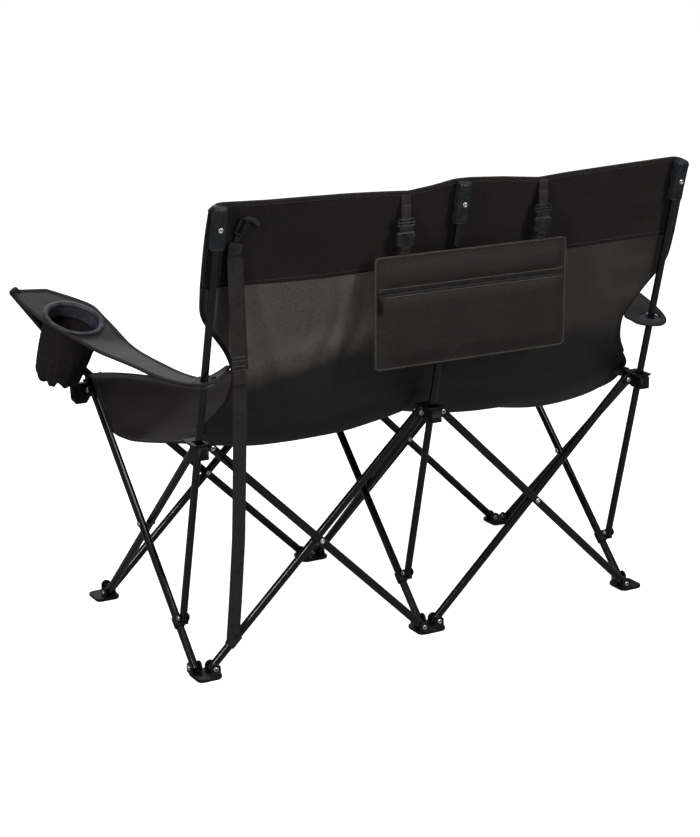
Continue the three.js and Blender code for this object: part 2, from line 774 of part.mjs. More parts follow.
// Soft pieces are drawn round this bay, depth and hub height. Near the rows and the side columns they
// keep their distance from them, and they stretch or close up in between.
const drawn = { bay: 487, depth: 493, hubHeight: 447.5, seatReach: 150, armReach: 70 };
const drift = { x: bay - drawn.bay, y: (depth - drawn.depth) / 2, z: hubHeight - drawn.hubHeight };

function fitY(y, rigidFrom) {
  const reach = y - frame.rowMiddle;
  const away = Math.abs(reach);
  const moved = away > rigidFrom ? away + drift.y : away * (1 + drift.y / rigidFrom);
  return frame.rowMiddle + Math.sign(reach) * moved;
}

function onSeat(y) {
  return fitY(y, drawn.seatReach);
}

function fitRow([half, edgeY, edgeZ, midY, midZ, centreY, centreZ, ...shape]) {
  const depths = [edgeY, midY, centreY].map(onSeat);
  const heights = [edgeZ, midZ, centreZ].map((z) => z + drift.z);
  const places = [0, 1, 2].flatMap((k) => [depths[k], heights[k]]);
  return [half + drift.x, ...places, ...shape];
}

const seatFrontRows = [
  [474, -256, 471.4, -256, 432, -256, 464, 0, 0, 0],
  [472, -230, 471.4, -230, 424, -230, 463.6, 0, 0, 0],
  [470, -214, 464, -214, 420, -214, 459, 0, 0, 4],
  [468, -196, 424, -196, 414, -196, 452, 0.3, 0, 10],
  [467, -165, 378, -160, 404, -160, 437, 0.8, 2, 14],
  [464, -110, 372, -105, 392, -105, 422, 1, 4, 12],
  [462, -55, 380, -50, 386, -50, 412.5, 1, 8, 5],
  [461, 0, 392, 0, 384, 0, 409.5, 1, 14, 0],
].map(fitRow);
const seatRearRows = [
  [461, 0, 392, 0, 384, 0, 409.5, 1, 14, 0],
  [459, 50, 405, 50, 385, 50, 411, 1, 18, 0],
  [458, 100, 418, 100, 391, 100, 417, 1, 22, 0],
  [459, 150, 434, 152, 404, 150, 429, 1, 24, 0],
  [462, 184, 452, 194, 425, 182, 447, 0.6, 14, 0],
  [463, 206.5, 474, 222, 456, 206.5, 471.5, 0.2, 4, 0],
  [443, 222, 500, 238, 492, 219, 500, 0, 0, 0],
].map(fitRow);
// The back leaves the seat in free rows and then lies against the posts. Each row on the posts holds
// its half width, its height at the posts, its height in mid-bay and how far it bulges there.
const backFreeRows = [
  [443, 222, 500, 238, 492, 219, 500, 0, 0, 0],
  [428, 240, 530, 250, 524, 238, 530, 0, 0, 0],
].map(fitRow);
const backMeeting = { half: 424, edgeY: 257, midY: 263, midZ: 565, z: 568 };
const backPostRows = [
  [442, 615, 613, 2],
  [486, 673, 670, 3],
  [507, 706, 702, 3],
  [512, 760, 755, 3],
  [512, 815, 808, 3],
  [511, 865, 855, 3],
  [509, 911, 897, 3],
];

function meetingRow({ half, edgeY, midY, midZ, z }) {
  return [half + drift.x, onSeat(edgeY), z, onSeat(midY), midZ, onPost(z), z, 0, 0, 0];
}

function postRow([half, z, midZ, bulge]) {
  return [half + drift.x, onPost(z), z, onPost(midZ) - bulge, midZ, onPost(z), z, 0, 0, 0];
}

const backRows = [...backFreeRows, meetingRow(backMeeting), ...backPostRows.map(postRow)];
const slingSteps = 22;
const sag = { steepness: 2.4, dropFrom: 150, dropSpread: 0.6, outSharpness: 4 };

function ease(t) {
  return t * t * (3 - 2 * t);
}

// From 0 at a hub to 1 in mid-bay: an even curve, or one that leaves the hub steeply
function fall(t, peak) {
  return (1 - peak) * ease(t) + peak * (1 - (1 - t) ** sag.steepness);
}

function slingPoint(row, share) {
  const [half, edgeY, edgeZ, midY, midZ, centreY, centreZ, peak, rightDrop, leftOut] = row;
  const x = share * half;
  const reach = x + leftOut * Math.max(0, share) ** sag.outSharpness;
  const bend = bay / 2;
  const across = Math.abs(x);
  const sideShare = Math.min(1, Math.max(0, (across - sag.dropFrom) / (half - sag.dropFrom)));
  const drop = x < 0 ? rightDrop * Math.sin(Math.PI * sideShare) ** sag.dropSpread : 0;
  if (across < bend) {
    const t = fall(across / bend, peak);
    return new THREE.Vector3(reach, centreY + (midY - centreY) * t, centreZ + (midZ - centreZ) * t - drop);
  }
  const t = fall((half - across) / (half - bend), peak);
  return new THREE.Vector3(reach, edgeY + (midY - edgeY) * t, edgeZ + (midZ - edgeZ) * t - drop);
}

function slingGrid(rows) {
  return rows.map((row) => {
    const points = [];
    for (let j = 0; j <= slingSteps; j += 1) points.push(slingPoint(row, (2 * j) / slingSteps - 1));
    return points;
  });
}

function slingPart(name, rows, look) {
  addPart(name, facingOut(clothSolid(slingGrid(rows), cloth.thickness)), look);
}

// The three sling panels meet along their seams with a hairline between them.
function trimmed(rows, first, last) {
  const copy = rows.map((row) => [...row]);
  const pull = (end, next) => end.map((value, k) => {
    const reach = Math.hypot(next[1] - end[1], next[2] - end[2]);
    return value + ((next[k] - value) * gap) / 2 / reach;
  });
  if (first) copy[0] = pull(copy[0], copy[1]);
  if (last) copy[copy.length - 1] = pull(copy[copy.length - 1], copy[copy.length - 2]);
  return copy;
}

slingPart('seat_front_panel', trimmed(seatFrontRows, false, true), looks.fabric);
slingPart('seat_rear_panel', trimmed(seatRearRows, true, true), looks.fabric);
slingPart('back_panel', trimmed(backRows, true, false), looks.satin);

// Armrests: outer and inner edge points of the left one, from its tail behind the post
// round the eyelet and forward to the front edge
const armOuter = [
  [444, 292, 604], [466, 307, 592], [496, 310, 582], [515, 286, 577], [521, 235, 570],
  [529, 157, 565], [535, 78, 566], [546, 20, 569], [560, -30, 574], [580, -75, 587],
  [606, -110, 604], [628, -145, 620.6], [636, -185, 637.6], [635, -215, 650], [626, -243, 660.5],
];
const armInner = [
  [440, 270, 598], [451, 262, 588], [463, 255, 580], [469, 246, 574], [471, 225, 569],
  [477, 157, 565], [481, 78, 566], [481, 20, 566], [480, -30, 567], [481, -75, 573.3],
  [487, -120, 591.8], [494, -160, 608.6], [502, -195, 623.5], [535, -222, 638.6], [577, -247, 654.1],
];
const armCrossSteps = 4;
const ring = {
  centre: [560, -150, 613.5],
  normal: [-0.1238, 0.3648, 0.9232],
  flangeRadius: 60,
  holeRadius: 49.4,
  sleeveRadius: 52,
  sleeveDepth: 26,
  flangeHeight: 3,
  clearance: 1.2,
  sides: 20,
};
const pouch = {
  mouthRadius: 55.5,
  wall: 2.6,
  depth: 122,
  footRadius: 46,
  waist: 0.82,
  topGap: 3.2,
  sides: 20,
  hang: [0, 0.16, 0],
};
const eyelet = { sides: 16, radius: 20.5, height: 5, hole: 7.5, heightAt: 578, cutGap: 0.4 };

function mirrored(point, way) {
  return [way * point[0], point[1], point[2]];
}

function onAxis(geometry, centre, normal) {
  const turn = new THREE.Quaternion().setFromUnitVectors(up, vec(normal).normalize());
  geometry.applyQuaternion(turn);
  geometry.translate(centre[0], centre[1], centre[2]);
  return geometry;
}

function lathe(profile, sides) {
  const points = profile.map(([x, y]) => new THREE.Vector2(x, y));
  return new THREE.LatheGeometry([...points, points[0].clone()], sides);
}

// An armrest point for this frame, on the left or mirrored to the right
function onArm([x, y, z], way) {
  return mirrored([x + drift.x, fitY(y, drawn.armReach), z], way);
}

function armGrid(way) {
  return armOuter.map((outer, i) => {
    const row = [];
    for (let j = 0; j <= armCrossSteps; j += 1) {
      row.push(vec(onArm(outer, way)).lerp(vec(onArm(armInner[i], way)), j / armCrossSteps));
    }
    return row;
  });
}

function eyeletAt(column) {
  return postAt(column, eyelet.heightAt);
}

function postWay() {
  return [0, Math.sin(lean), Math.cos(lean)];
}

function armPanel(name, column, way) {
  const panel = toSolid(facingOut(clothSolid(armGrid(way), cloth.armThickness)));
  const centre = onArm(ring.centre, way);
  const normal = mirrored(ring.normal, way);
  const ringHole = new THREE.CylinderGeometry(
    ring.sleeveRadius + ring.clearance, ring.sleeveRadius + ring.clearance, ring.sleeveRadius, ring.sides);
  const eyeletHole = new THREE.CylinderGeometry(
    eyelet.radius + eyelet.cutGap, eyelet.radius + eyelet.cutGap, ring.sleeveRadius, eyelet.sides);
  const holes = [onAxis(ringHole, centre, normal), onAxis(eyeletHole, eyeletAt(column), postWay())];
  addPart(name, toGeometry(cut(panel, holes)), looks.satin);
}

function cupRing(name, way) {
  const seat = cloth.armThickness / 2 + gap;
  const geometry = lathe([
    [ring.holeRadius, -ring.sleeveDepth], [ring.sleeveRadius, -ring.sleeveDepth],
    [ring.sleeveRadius, seat], [ring.flangeRadius, seat],
    [ring.flangeRadius - ring.flangeHeight / 2, seat + ring.flangeHeight],
    [ring.holeRadius, seat + ring.flangeHeight],
  ], ring.sides);
  onAxis(geometry, onArm(ring.centre, way), mirrored(ring.normal, way));
  addPart(name, toGeometry(join([facingOut(geometry)])), looks.plastic);
}

function cupPouch(name, way) {
  const top = -pouch.topGap;
  const bottom = top - pouch.depth;
  const bend = top - pouch.depth * pouch.waist;
  const neck = -ring.sleeveDepth - gap;
  const inside = pouch.mouthRadius - pouch.wall;
  const geometry = lathe([
    [0, bottom], [pouch.footRadius, bottom + pouch.wall * 2], [pouch.mouthRadius, bend],
    [pouch.mouthRadius, neck], [pouch.mouthRadius, top], [inside, top], [inside, neck], [inside, bend],
    [pouch.footRadius - pouch.wall, bottom + pouch.wall * 3], [0, bottom + pouch.wall],
  ], pouch.sides);
  const centre = onArm(ring.centre, way);
  const normal = mirrored(ring.normal, way);
  onAxis(geometry, centre, normal);
  sheared(geometry, centre, vec(normal).normalize(), vec(pouch.hang));
  addPart(name, toGeometry(join([facingOut(geometry)])), looks.fabric);
}

// Shifts what lies deeper than the sleeve, so that the pouch hangs down from its tilted mouth
function sheared(geometry, centre, normal, shift) {
  const points = geometry.attributes.position;
  const point = new THREE.Vector3();
  for (let i = 0; i < points.count; i += 1) {
    point.fromBufferAttribute(points, i);
    const below = vec(centre).sub(point).dot(normal) - ring.sleeveDepth - gap;
    point.addScaledVector(shift, Math.max(0, below));
    points.setXYZ(i, point.x, point.y, point.z);
  }
}

function armEyelet(name, column) {
  const geometry = lathe([
    [eyelet.hole, -eyelet.height / 2], [eyelet.radius, -eyelet.height / 2],
    [eyelet.radius, eyelet.height / 2], [eyelet.hole, eyelet.height / 2],
  ], eyelet.sides);
  onAxis(geometry, eyeletAt(column), postWay());
  addPart(name, toGeometry(join([facingOut(geometry)])), looks.plastic);
}

for (const [side, way] of [['left', 1], ['right', -1]]) {
  armPanel(`${side}_arm_panel`, side, way);
  cupRing(`${side}_cup_ring`, way);
  cupPouch(`${side}_cup_pouch`, way);
  armEyelet(`${side}_arm_eyelet`, side);
}

// Zip pocket behind the back, hung from the top hem by two webbing straps with buckles
const pocket = {
  left: 175,
  right: -238,
  bottom: 570,
  top: 777,
  thickness: 7,
  behindPost: 0.5,
  corner: 6,
};
const pocketFront = postAt('centre', pocket.top)[1] + tube.postRadius / Math.cos(lean) + pocket.behindPost;
const pocketBack = pocketFront + pocket.thickness;

function pocketPart() {
  const shape = roundedRectangle([pocket.right, pocket.bottom], [pocket.left, pocket.top], pocket.corner);
  const geometry = new THREE.ExtrudeGeometry(shape, {
    depth: pocket.thickness,
    bevelEnabled: false,
    curveSegments: foot.cornerSteps,
  });
  geometry.rotateX(Math.PI / 2);
  geometry.translate(0, pocketBack, 0);
  addPart('zip_pocket', toGeometry(join([geometry])), looks.fabric);
}
pocketPart();

const zip = {
  start: 168,
  line: 712,
  halfWidth: 3.5,
  thickness: 2.4,
  bodyRise: 5,
  pullDrop: 38,
  pullWidth: 2.4,
};

function zipSlider() {
  const near = pocketBack + gap;
  const body = box([zip.start - zip.halfWidth, near, zip.line - zip.bodyRise],
    [zip.start + zip.halfWidth, near + zip.thickness, zip.line + zip.bodyRise]);
  const pull = box([zip.start - zip.pullWidth, near, zip.line - zip.pullDrop],
    [zip.start + zip.pullWidth, near + zip.thickness / 2, zip.line]);
  addPart('zip_slider', toGeometry(join([body, pull])), looks.rivet);
}
zipSlider();

const hanger = {
  leftX: 114,
  rightX: -182,
  halfWidth: 9.5,
  thickness: 2,
  buckleHalfWidth: 18,
  buckleBottom: 794,
  buckleTop: 846,
  buckleThickness: 9,
  topHeight: 892,
  hemBulge: 3,
};

function hangerPart(name, x) {
  const clothBack = onPost(hanger.topHeight) - hanger.hemBulge + cloth.thickness + gap + hanger.thickness;
  const start = [x, clothBack, hanger.topHeight];
  const end = [x, pocketFront + pocket.thickness / 2, pocket.top + gap];
  const fall = start[2] - end[2];
  const shear = (start[1] - end[1]) / fall;
  const strap = box([x - hanger.halfWidth, -hanger.thickness / 2, 0],
    [x + hanger.halfWidth, hanger.thickness / 2, fall]);
  const buckleY = hanger.buckleThickness / 2;
  const buckle = box([x - hanger.buckleHalfWidth, -buckleY, hanger.buckleBottom - end[2]],
    [x + hanger.buckleHalfWidth, buckleY, hanger.buckleTop - end[2]]);
  const slope = new THREE.Matrix4().makeShear(0, 0, 0, 0, 0, 0);
  slope.elements[9] = shear;
  const solids = [strap, buckle].map((geometry) => {
    geometry.applyMatrix4(slope);
    geometry.translate(0, end[1], end[2]);
    return geometry;
  });
  addPart(name, toGeometry(join(solids)), looks.webbing);
}
hangerPart('left_pocket_strap', hanger.leftX);
hangerPart('right_pocket_strap', hanger.rightX);

// Closure strap: webbing from the back's upper left corner down to the left rear tube
const strap = {
  topX: 449,
  topZ: 818,
  lowX: 421,
  lowZ: 84,
  halfWidth: 12,
  thickness: 2,
  steps: 10,
  bulge: 6,
  endX: 449,
};

function strapGrid() {
  const tubeBack = rearRow + frame.frontLayer + tube.crossRadius + gap + strap.thickness / 2;
  const topY = onPost(strap.topZ) + cloth.thickness / 2 + gap + strap.thickness / 2;
  const rows = [];
  for (let i = 0; i <= strap.steps; i += 1) {
    const t = i / strap.steps;
    const x = strap.topX + (strap.lowX - strap.topX) * t + drift.x;
    const y = topY + (tubeBack - topY) * t + strap.bulge * Math.sin(Math.PI * t);
    const z = strap.topZ + (strap.lowZ - strap.topZ) * t;
    rows.push([x, y, z]);
  }
  const slope = frame.rise / frame.span;
  const way = 1 / Math.hypot(1, slope);
  const endX = strap.endX + drift.x;
  const endRow = [endX, tubeBack, frame.pivotHeight + (bay - frame.crossInset - endX) * slope];
  const grid = rows.map(([x, y, z]) => [
    new THREE.Vector3(x - strap.halfWidth, y, z),
    new THREE.Vector3(x + strap.halfWidth, y, z),
  ]);
  const half = tube.crossRadius;
  grid.push([
    new THREE.Vector3(endRow[0] - half * slope * way, endRow[1], endRow[2] - half * way),
    new THREE.Vector3(endRow[0] + half * slope * way, endRow[1], endRow[2] + half * way),
  ]);
  return grid;
}
addPart('closure_strap', facingOut(clothSolid(strapGrid(), strap.thickness)), looks.webbing);

// The origin lies on the ground under the middle of the outer size.
const bounds = new THREE.Box3().setFromObject(group);
const centre = bounds.getCenter(new THREE.Vector3());
for (const mesh of group.children) mesh.position.set(-centre.x, -centre.y, 0);

export default group;
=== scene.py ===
# Looks of a folding loveseat: powder-coated steel tube, moulded nylon, woven polyester and webbing.
import json
import math
import bpy
import bmesh
import numpy as np
from mathutils import Matrix, Vector, noise


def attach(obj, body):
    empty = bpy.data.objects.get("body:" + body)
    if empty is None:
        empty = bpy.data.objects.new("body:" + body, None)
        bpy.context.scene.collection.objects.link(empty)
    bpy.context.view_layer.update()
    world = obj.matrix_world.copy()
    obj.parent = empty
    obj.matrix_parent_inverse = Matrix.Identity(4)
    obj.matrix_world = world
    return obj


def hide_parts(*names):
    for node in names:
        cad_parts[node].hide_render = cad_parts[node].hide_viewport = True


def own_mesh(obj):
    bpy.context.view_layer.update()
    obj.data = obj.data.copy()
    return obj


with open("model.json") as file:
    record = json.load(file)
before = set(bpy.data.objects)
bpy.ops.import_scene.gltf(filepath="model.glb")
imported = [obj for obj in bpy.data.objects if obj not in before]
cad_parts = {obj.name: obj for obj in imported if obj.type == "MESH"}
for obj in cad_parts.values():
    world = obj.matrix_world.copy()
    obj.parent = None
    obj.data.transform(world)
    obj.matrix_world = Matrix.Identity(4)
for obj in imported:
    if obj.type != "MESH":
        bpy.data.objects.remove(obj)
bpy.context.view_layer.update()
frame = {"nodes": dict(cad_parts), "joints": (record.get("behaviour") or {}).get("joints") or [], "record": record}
scene = bpy.context.scene

# The places below are drawn with the frame's rear row at 0.244; rowShift brings them to the part's origin.
drawnFoldY = 0.2525
foldY = next(joint["pos_m"][1] for joint in frame["joints"] if joint["name"] == "fold")
rowShift = foldY - drawnFoldY
hands = {"left": 1, "right": -1}
upright = Vector((0, 0, 1))


def placed(x, y, z):
    return Vector((x, y + rowShift, z))


def clamped(value):
    return min(1.0, max(0.0, value))


def eased(t):
    return t * t * (3 - 2 * t)


def hexColour(text):
    channels = [int(text[i:i + 2], 16) / 255 for i in (1, 3, 5)]
    linear = [c / 12.92 if c <= 0.04045 else ((c + 0.055) / 1.055) ** 2.4 for c in channels]
    return (*linear, 1.0)


# Node helpers
def feed(tree, node, sockets):
    for socket, source in sockets.items():
        tree.links.new(source, node.inputs[socket])


def addNode(tree, kind, links=None, values=None, **settings):
    node = tree.nodes.new(kind)
    for name, value in settings.items():
        setattr(node, name, value)
    for socket, value in (values or {}).items():
        node.inputs[socket].default_value = value
    feed(tree, node, links or {})
    return node


def calc(tree, operation, *operands):
    # Each operand is a socket or a number
    numbers = {i: value for i, value in enumerate(operands) if isinstance(value, (int, float))}
    sockets = {i: value for i, value in enumerate(operands) if i not in numbers}
    return addNode(tree, "ShaderNodeMath", sockets, numbers, operation=operation).outputs[0]


def startMaterial(name, sockets):
    material = bpy.data.materials.new(name)
    material.use_nodes = True
    tree = material.node_tree
    shader = tree.nodes["Principled BSDF"]
    for socket, value in sockets.items():
        shader.inputs[socket].default_value = value
    return material, tree, shader


def objectPlace(tree):
    return addNode(tree, "ShaderNodeTexCoord").outputs["Object"]


def flatPlace(tree):
    flat = addNode(tree, "ShaderNodeUVMap", uv_map="cloth").outputs["UV"]
    return addNode(tree, "ShaderNodeSeparateXYZ", {0: flat}).outputs


def noiseOn(tree, coordinate, scale, detail=2.0, roughness=0.5):
    values = {"Scale": scale, "Detail": detail, "Roughness": roughness}
    return addNode(tree, "ShaderNodeTexNoise", {"Vector": coordinate}, values).outputs["Fac"]


def mixColour(tree, factor, first, second):
    colours = {6: hexColour(first), 7: hexColour(second)}
    node = addNode(tree, "ShaderNodeMix", {0: factor}, data_type="RGBA")
    for socket, colour in colours.items():
        node.inputs[socket].default_value = colour
    return node.outputs[2]


def rangeOf(tree, value, low, high, start=0.3, end=0.7):
    values = {"From Min": start, "From Max": end, "To Min": low, "To Max": high}
    return addNode(tree, "ShaderNodeMapRange", {"Value": value}, values).outputs["Result"]


def bumped(tree, height, strength, distance, under=None):
    links = {"Height": height, "Normal": under} if under else {"Height": height}
    values = {"Strength": strength, "Distance": distance}
    return addNode(tree, "ShaderNodeBump", links, values).outputs["Normal"]


# Materials
def plainFinish(name, sockets, cloud, colours, spread=(0.3, 0.7), rough=None, grain=None):
    # One noise clouds colour and roughness; a finer one is the grain: scale, detail, strength and distance
    material, tree, shader = startMaterial(name, sockets)
    where = objectPlace(tree)
    tone = noiseOn(tree, where, *cloud)
    feed(tree, shader, {"Base Color": mixColour(tree, rangeOf(tree, tone, 0, 1, *spread), *colours)})
    if rough:
        feed(tree, shader, {"Roughness": rangeOf(tree, tone, *rough)})
    if grain:
        feed(tree, shader, {"Normal": bumped(tree, noiseOn(tree, where, *grain[:2]), *grain[2:])})
    return material


def mouldedNylon(name, dark, light, roughness):
    # Injection-moulded glass-filled nylon: near black, with a fine spark-eroded grain and paler rubbed places
    return plainFinish(name, {"IOR": 1.53, "Specular IOR Level": 0.24}, (55, 6, 0.65), (dark, light),
                       (0.4, 0.75), (roughness - 0.06, roughness + 0.1), (1500, 3, 0.18, 0.0003))


def sewingThread(name, dark, light):
    # Bonded polyester thread with the twist of its plies
    return plainFinish(name, {"Roughness": 0.6, "Sheen Weight": 0.2}, (1200,), (dark, light), (0, 1))


def wornPatch(tree, where, cloud, factor, worn):
    # Painted sheen: paler above a line across the lower back that falls from the middle to the sides, darker below
    # it as painted shade; fainter on the right
    place = addNode(tree, "ShaderNodeSeparateXYZ", {0: where}).outputs
    sunk = calc(tree, "MULTIPLY", calc(tree, "ABSOLUTE", place["X"]), worn["slope"])
    height = calc(tree, "ADD", place["Z"], sunk)
    height = calc(tree, "ADD", height, calc(tree, "MULTIPLY", cloud, worn["cloud"]))
    patch = rangeOf(tree, height, 0, 1, worn["from"], worn["to"])
    patch = calc(tree, "MULTIPLY", patch, rangeOf(tree, place["X"], worn["right"], 1, -0.3, 0))
    return calc(tree, "MULTIPLY", rangeOf(tree, factor, worn["evenness"], 1, 0, 1), patch)


def wovenCloth(name, **look):
    # Plain-woven yarn; threads are drawn about four times as coarse as real, so that they still show
    look = {"sheen": 0.06, "gloss": 0.3, "threadMm": 2.0, "weave": 0.12, "crumpleScale": 26, **look}
    material, tree, shader = startMaterial(name, {
        "IOR": 1.5, "Sheen Weight": look["sheen"], "Sheen Roughness": 0.45,
        "Specular IOR Level": look["gloss"], "Sheen Tint": hexColour(look["light"])})
    where, flat = objectPlace(tree), flatPlace(tree)
    turns = 2 * math.pi / (look["threadMm"] / 1000)
    waves = [calc(tree, "SINE", calc(tree, "MULTIPLY", flat[axis], turns)) for axis in "XY"]
    weave = calc(tree, "MULTIPLY", *waves)
    cloud = noiseOn(tree, where, look["cloudScale"], 5, 0.62)
    factor = rangeOf(tree, calc(tree, "ADD", cloud, noiseOn(tree, where, 240, 3, 0.6)), 0, 1, 0.72, 1.28)
    # Painted sheen and shade on the lower back, where the look asks for it
    if "worn" in look:
        factor = wornPatch(tree, where, cloud, factor, look["worn"])
    crumple = noiseOn(tree, where, look["crumpleScale"], 4, 0.55)
    feed(tree, shader, {
        "Base Color": mixColour(tree, factor, look["dark"], look["light"]),
        "Roughness": rangeOf(tree, cloud, *look["rough"]),
        "Normal": bumped(tree, crumple, look["crumple"], 0.004, bumped(tree, weave, look["weave"], 0.0003))})
    return material


def grosgrain(name, dark, light):
    return wovenCloth(name, dark=dark, light=light, rough=(0.7, 0.85), threadMm=1.6, weave=0.4, cloudScale=20,
                      crumpleScale=60, crumple=0.2)


def ribbedWebbing():
    # Polypropylene webbing: dull, with a chevron rib that repeats about every 3 mm
    material, tree, shader = startMaterial("polypropylene_webbing", {"IOR": 1.49, "Roughness": 0.8})
    where, flat = objectPlace(tree), flatPlace(tree)
    slant = calc(tree, "ADD", calc(tree, "PINGPONG", flat["X"], 0.006), flat["Y"])
    rib = calc(tree, "SINE", calc(tree, "MULTIPLY", slant, 2 * math.pi / 0.003))
    wear = rangeOf(tree, noiseOn(tree, where, 90, 4, 0.6), 0, 1)
    feed(tree, shader, {"Base Color": mixColour(tree, wear, "#131110", "#282422"),
                        "Normal": bumped(tree, rib, 0.35, 0.0005)})
    return material


finishes = {
    # Baked polyester powder on steel: black, semi-gloss, with a faint orange peel about 1 mm across
    "tube": plainFinish("powder_coated_steel", {"IOR": 1.5, "Specular IOR Level": 0.5}, (24, 5, 0.6),
                        ("#050505", "#100f0f"), rough=(0.11, 0.17), grain=(950, 2, 0.06, 0.0004)),
    "nylon": mouldedNylon("moulded_nylon", "#060606", "#141415", 0.45),
    "ringNylon": mouldedNylon("moulded_cup_ring", "#303036", "#50505a", 0.4),
    "buckleNylon": mouldedNylon("moulded_acetal_buckle", "#19191b", "#343438", 0.34),
    "capNylon": mouldedNylon("moulded_post_cap", "#1b1d1f", "#323437", 0.36),
    # Bright zinc-plated rivet heads, lightly brushed
    "rivet": plainFinish("zinc_plated_rivet", {"Metallic": 1.0}, (700, 4, 0.7), ("#b9bbbe", "#f0f1f2"),
                         (0, 1), (0.18, 0.4)),
    # Gunmetal-plated zinc of the zip pull, worn a little brighter in patches
    "zipMetal": plainFinish("gunmetal_zip_pull", {"Metallic": 1.0}, (420, 4, 0.7), ("#161618", "#3c3c40"),
                            rough=(0.28, 0.5)),
    "woven": wovenCloth("woven_polyester", dark="#151312", light="#262221", rough=(0.72, 0.88), sheen=0.03,
                        gloss=0.25, cloudScale=5, crumpleScale=22, crumple=0.15),
    # Coated cloth with a painted sheen above a line on the lower back and painted shade below it
    "satin": wovenCloth("coated_polyester", dark="#1a1817", light="#625d59", rough=(0.42, 0.6), sheen=0.08,
                        gloss=0.42, cloudScale=6, crumple=0.38,
                        worn={"slope": 0.17, "cloud": 0.08, "from": 0.645, "to": 0.7, "evenness": 0.5,
                              "right": 0.3}),
    "armSatin": wovenCloth("coated_armrest_polyester", dark="#1a1817", light="#2b2826", rough=(0.46, 0.62),
                           gloss=0.4, cloudScale=4, crumple=0.3),
    "pocket": wovenCloth("pocket_polyester", dark="#151312", light="#282523", rough=(0.62, 0.8), weave=0.22,
                         cloudScale=9, crumpleScale=30, crumple=0.35),
    "binding": grosgrain("grosgrain_binding", "#161413", "#2a2725"),
    "piping": grosgrain("pocket_piping", "#2a2725", "#4a4541"),
    "webbing": ribbedWebbing(),
    "thread": sewingThread("bonded_thread", "#2a2724", "#433e39"),
    "darkThread": sewingThread("black_bonded_thread", "#131211", "#211f1d"),
    "paleThread": sewingThread("grey_bonded_thread", "#4a453f", "#6b655d"),
}
print("materials made")


# Mesh helpers
def newPiece(name, mesh, finish=None):
    piece = bpy.data.objects.new(name, mesh)
    scene.collection.objects.link(piece)
    if finish:
        mesh.materials.clear()
        mesh.materials.append(finishes[finish])
    return piece


def shadeSmooth(mesh):
    mesh.polygons.foreach_set("use_smooth", [True] * len(mesh.polygons))


def meshFrom(name, points, faces, uvs=None):
    mesh = bpy.data.meshes.new(name)
    mesh.from_pydata([tuple(p) for p in points], [], faces)
    if uvs is not None:
        layer = mesh.uv_layers.new(name="cloth")
        flat = np.array([uvs[i] for face in faces for i in face], np.float32)
        layer.data.foreach_set("uv", flat.ravel())
    shadeSmooth(mesh)
    mesh.update()
    return mesh


def outwards(piece):
    work = bmesh.new()
    work.from_mesh(piece.data)
    bmesh.ops.recalc_face_normals(work, faces=work.faces)
    if work.calc_volume(signed=True) < 0:
        bmesh.ops.reverse_faces(work, faces=work.faces)
    work.to_mesh(piece.data)
    work.free()
    return piece


def weld(mesh, distance=1e-6):
    work = bmesh.new()
    work.from_mesh(mesh)
    bmesh.ops.remove_doubles(work, verts=work.verts, dist=distance)
    work.to_mesh(mesh)
    work.free()


def quads(rows, columns, start=0, ring=False, loop=False):
    # Faces of a grid of points, closed across where ring is set and along where loop is
    def corner(i, j):
        return start + i % rows * columns + j % columns

    return [(corner(i, j), corner(i, j + 1), corner(i + 1, j + 1), corner(i + 1, j))
            for i in range(rows if loop else rows - 1) for j in range(columns if ring else columns - 1)]


def rimFaces(rows, columns):
    # Joins two grids of points, one behind the other, along their rim
    count = rows * columns
    rim = list(range(columns)) + [i * columns + columns - 1 for i in range(1, rows)]
    rim += [(rows - 1) * columns + j for j in range(columns - 2, -1, -1)]
    rim += [i * columns for i in range(rows - 2, 0, -1)]
    return [(a, b, b + count, a + count) for a, b in zip(rim, rim[1:] + rim[:1])]


def unit(vectors):
    return vectors / np.maximum(np.linalg.norm(vectors, axis=-1, keepdims=True), 1e-12)


def normalsOf(grid):
    # grid: rows by columns by 3; normals from the neighbours' differences
    return unit(np.cross(np.gradient(grid, axis=0), np.gradient(grid, axis=1)))


def lengthsAlong(points):
    return np.concatenate([[0], np.cumsum(np.linalg.norm(np.diff(points, axis=0), axis=1))])


def pointsAt(wanted, lengths, points):
    return np.stack([np.interp(wanted, lengths, points[:, k]) for k in range(3)], axis=1)


def evenly(path, spacing):
    # The same path with points spacing apart
    path = np.array(path, float)
    lengths = lengthsAlong(path)
    count = max(2, int(round(lengths[-1] / spacing)) + 1)
    return pointsAt(np.linspace(0, lengths[-1], count), lengths, path)


def sheetPiece(name, grid, thickness, finish):
    # A closed sheet around a grid of points, with its flat size in metres as UV
    rows, columns, _ = grid.shape
    out = normalsOf(grid) * thickness / 2
    across = np.linalg.norm(np.diff(grid, axis=1), axis=2)
    down = np.linalg.norm(np.diff(grid, axis=0), axis=2)
    u = np.concatenate([np.zeros((rows, 1)), np.cumsum(across, axis=1)], axis=1)
    u -= u[:, columns // 2][:, None]
    v = np.concatenate([np.zeros((1, columns)), np.cumsum(down, axis=0)], axis=0)
    points = np.concatenate([(grid + out).reshape(-1, 3), (grid - out).reshape(-1, 3)])
    uv = np.stack([u, v], axis=2).reshape(-1, 2)
    faces = []
    for a, b, c, d in quads(rows, columns):
        faces += [(a, d, c, b), tuple(rows * columns + k for k in (a, b, c, d))]
    mesh = meshFrom(name, points, faces + rimFaces(rows, columns), np.concatenate([uv, uv]))
    piece = outwards(newPiece(name, mesh, finish))
    piece.data.set_sharp_from_angle(angle=math.radians(50))
    return piece


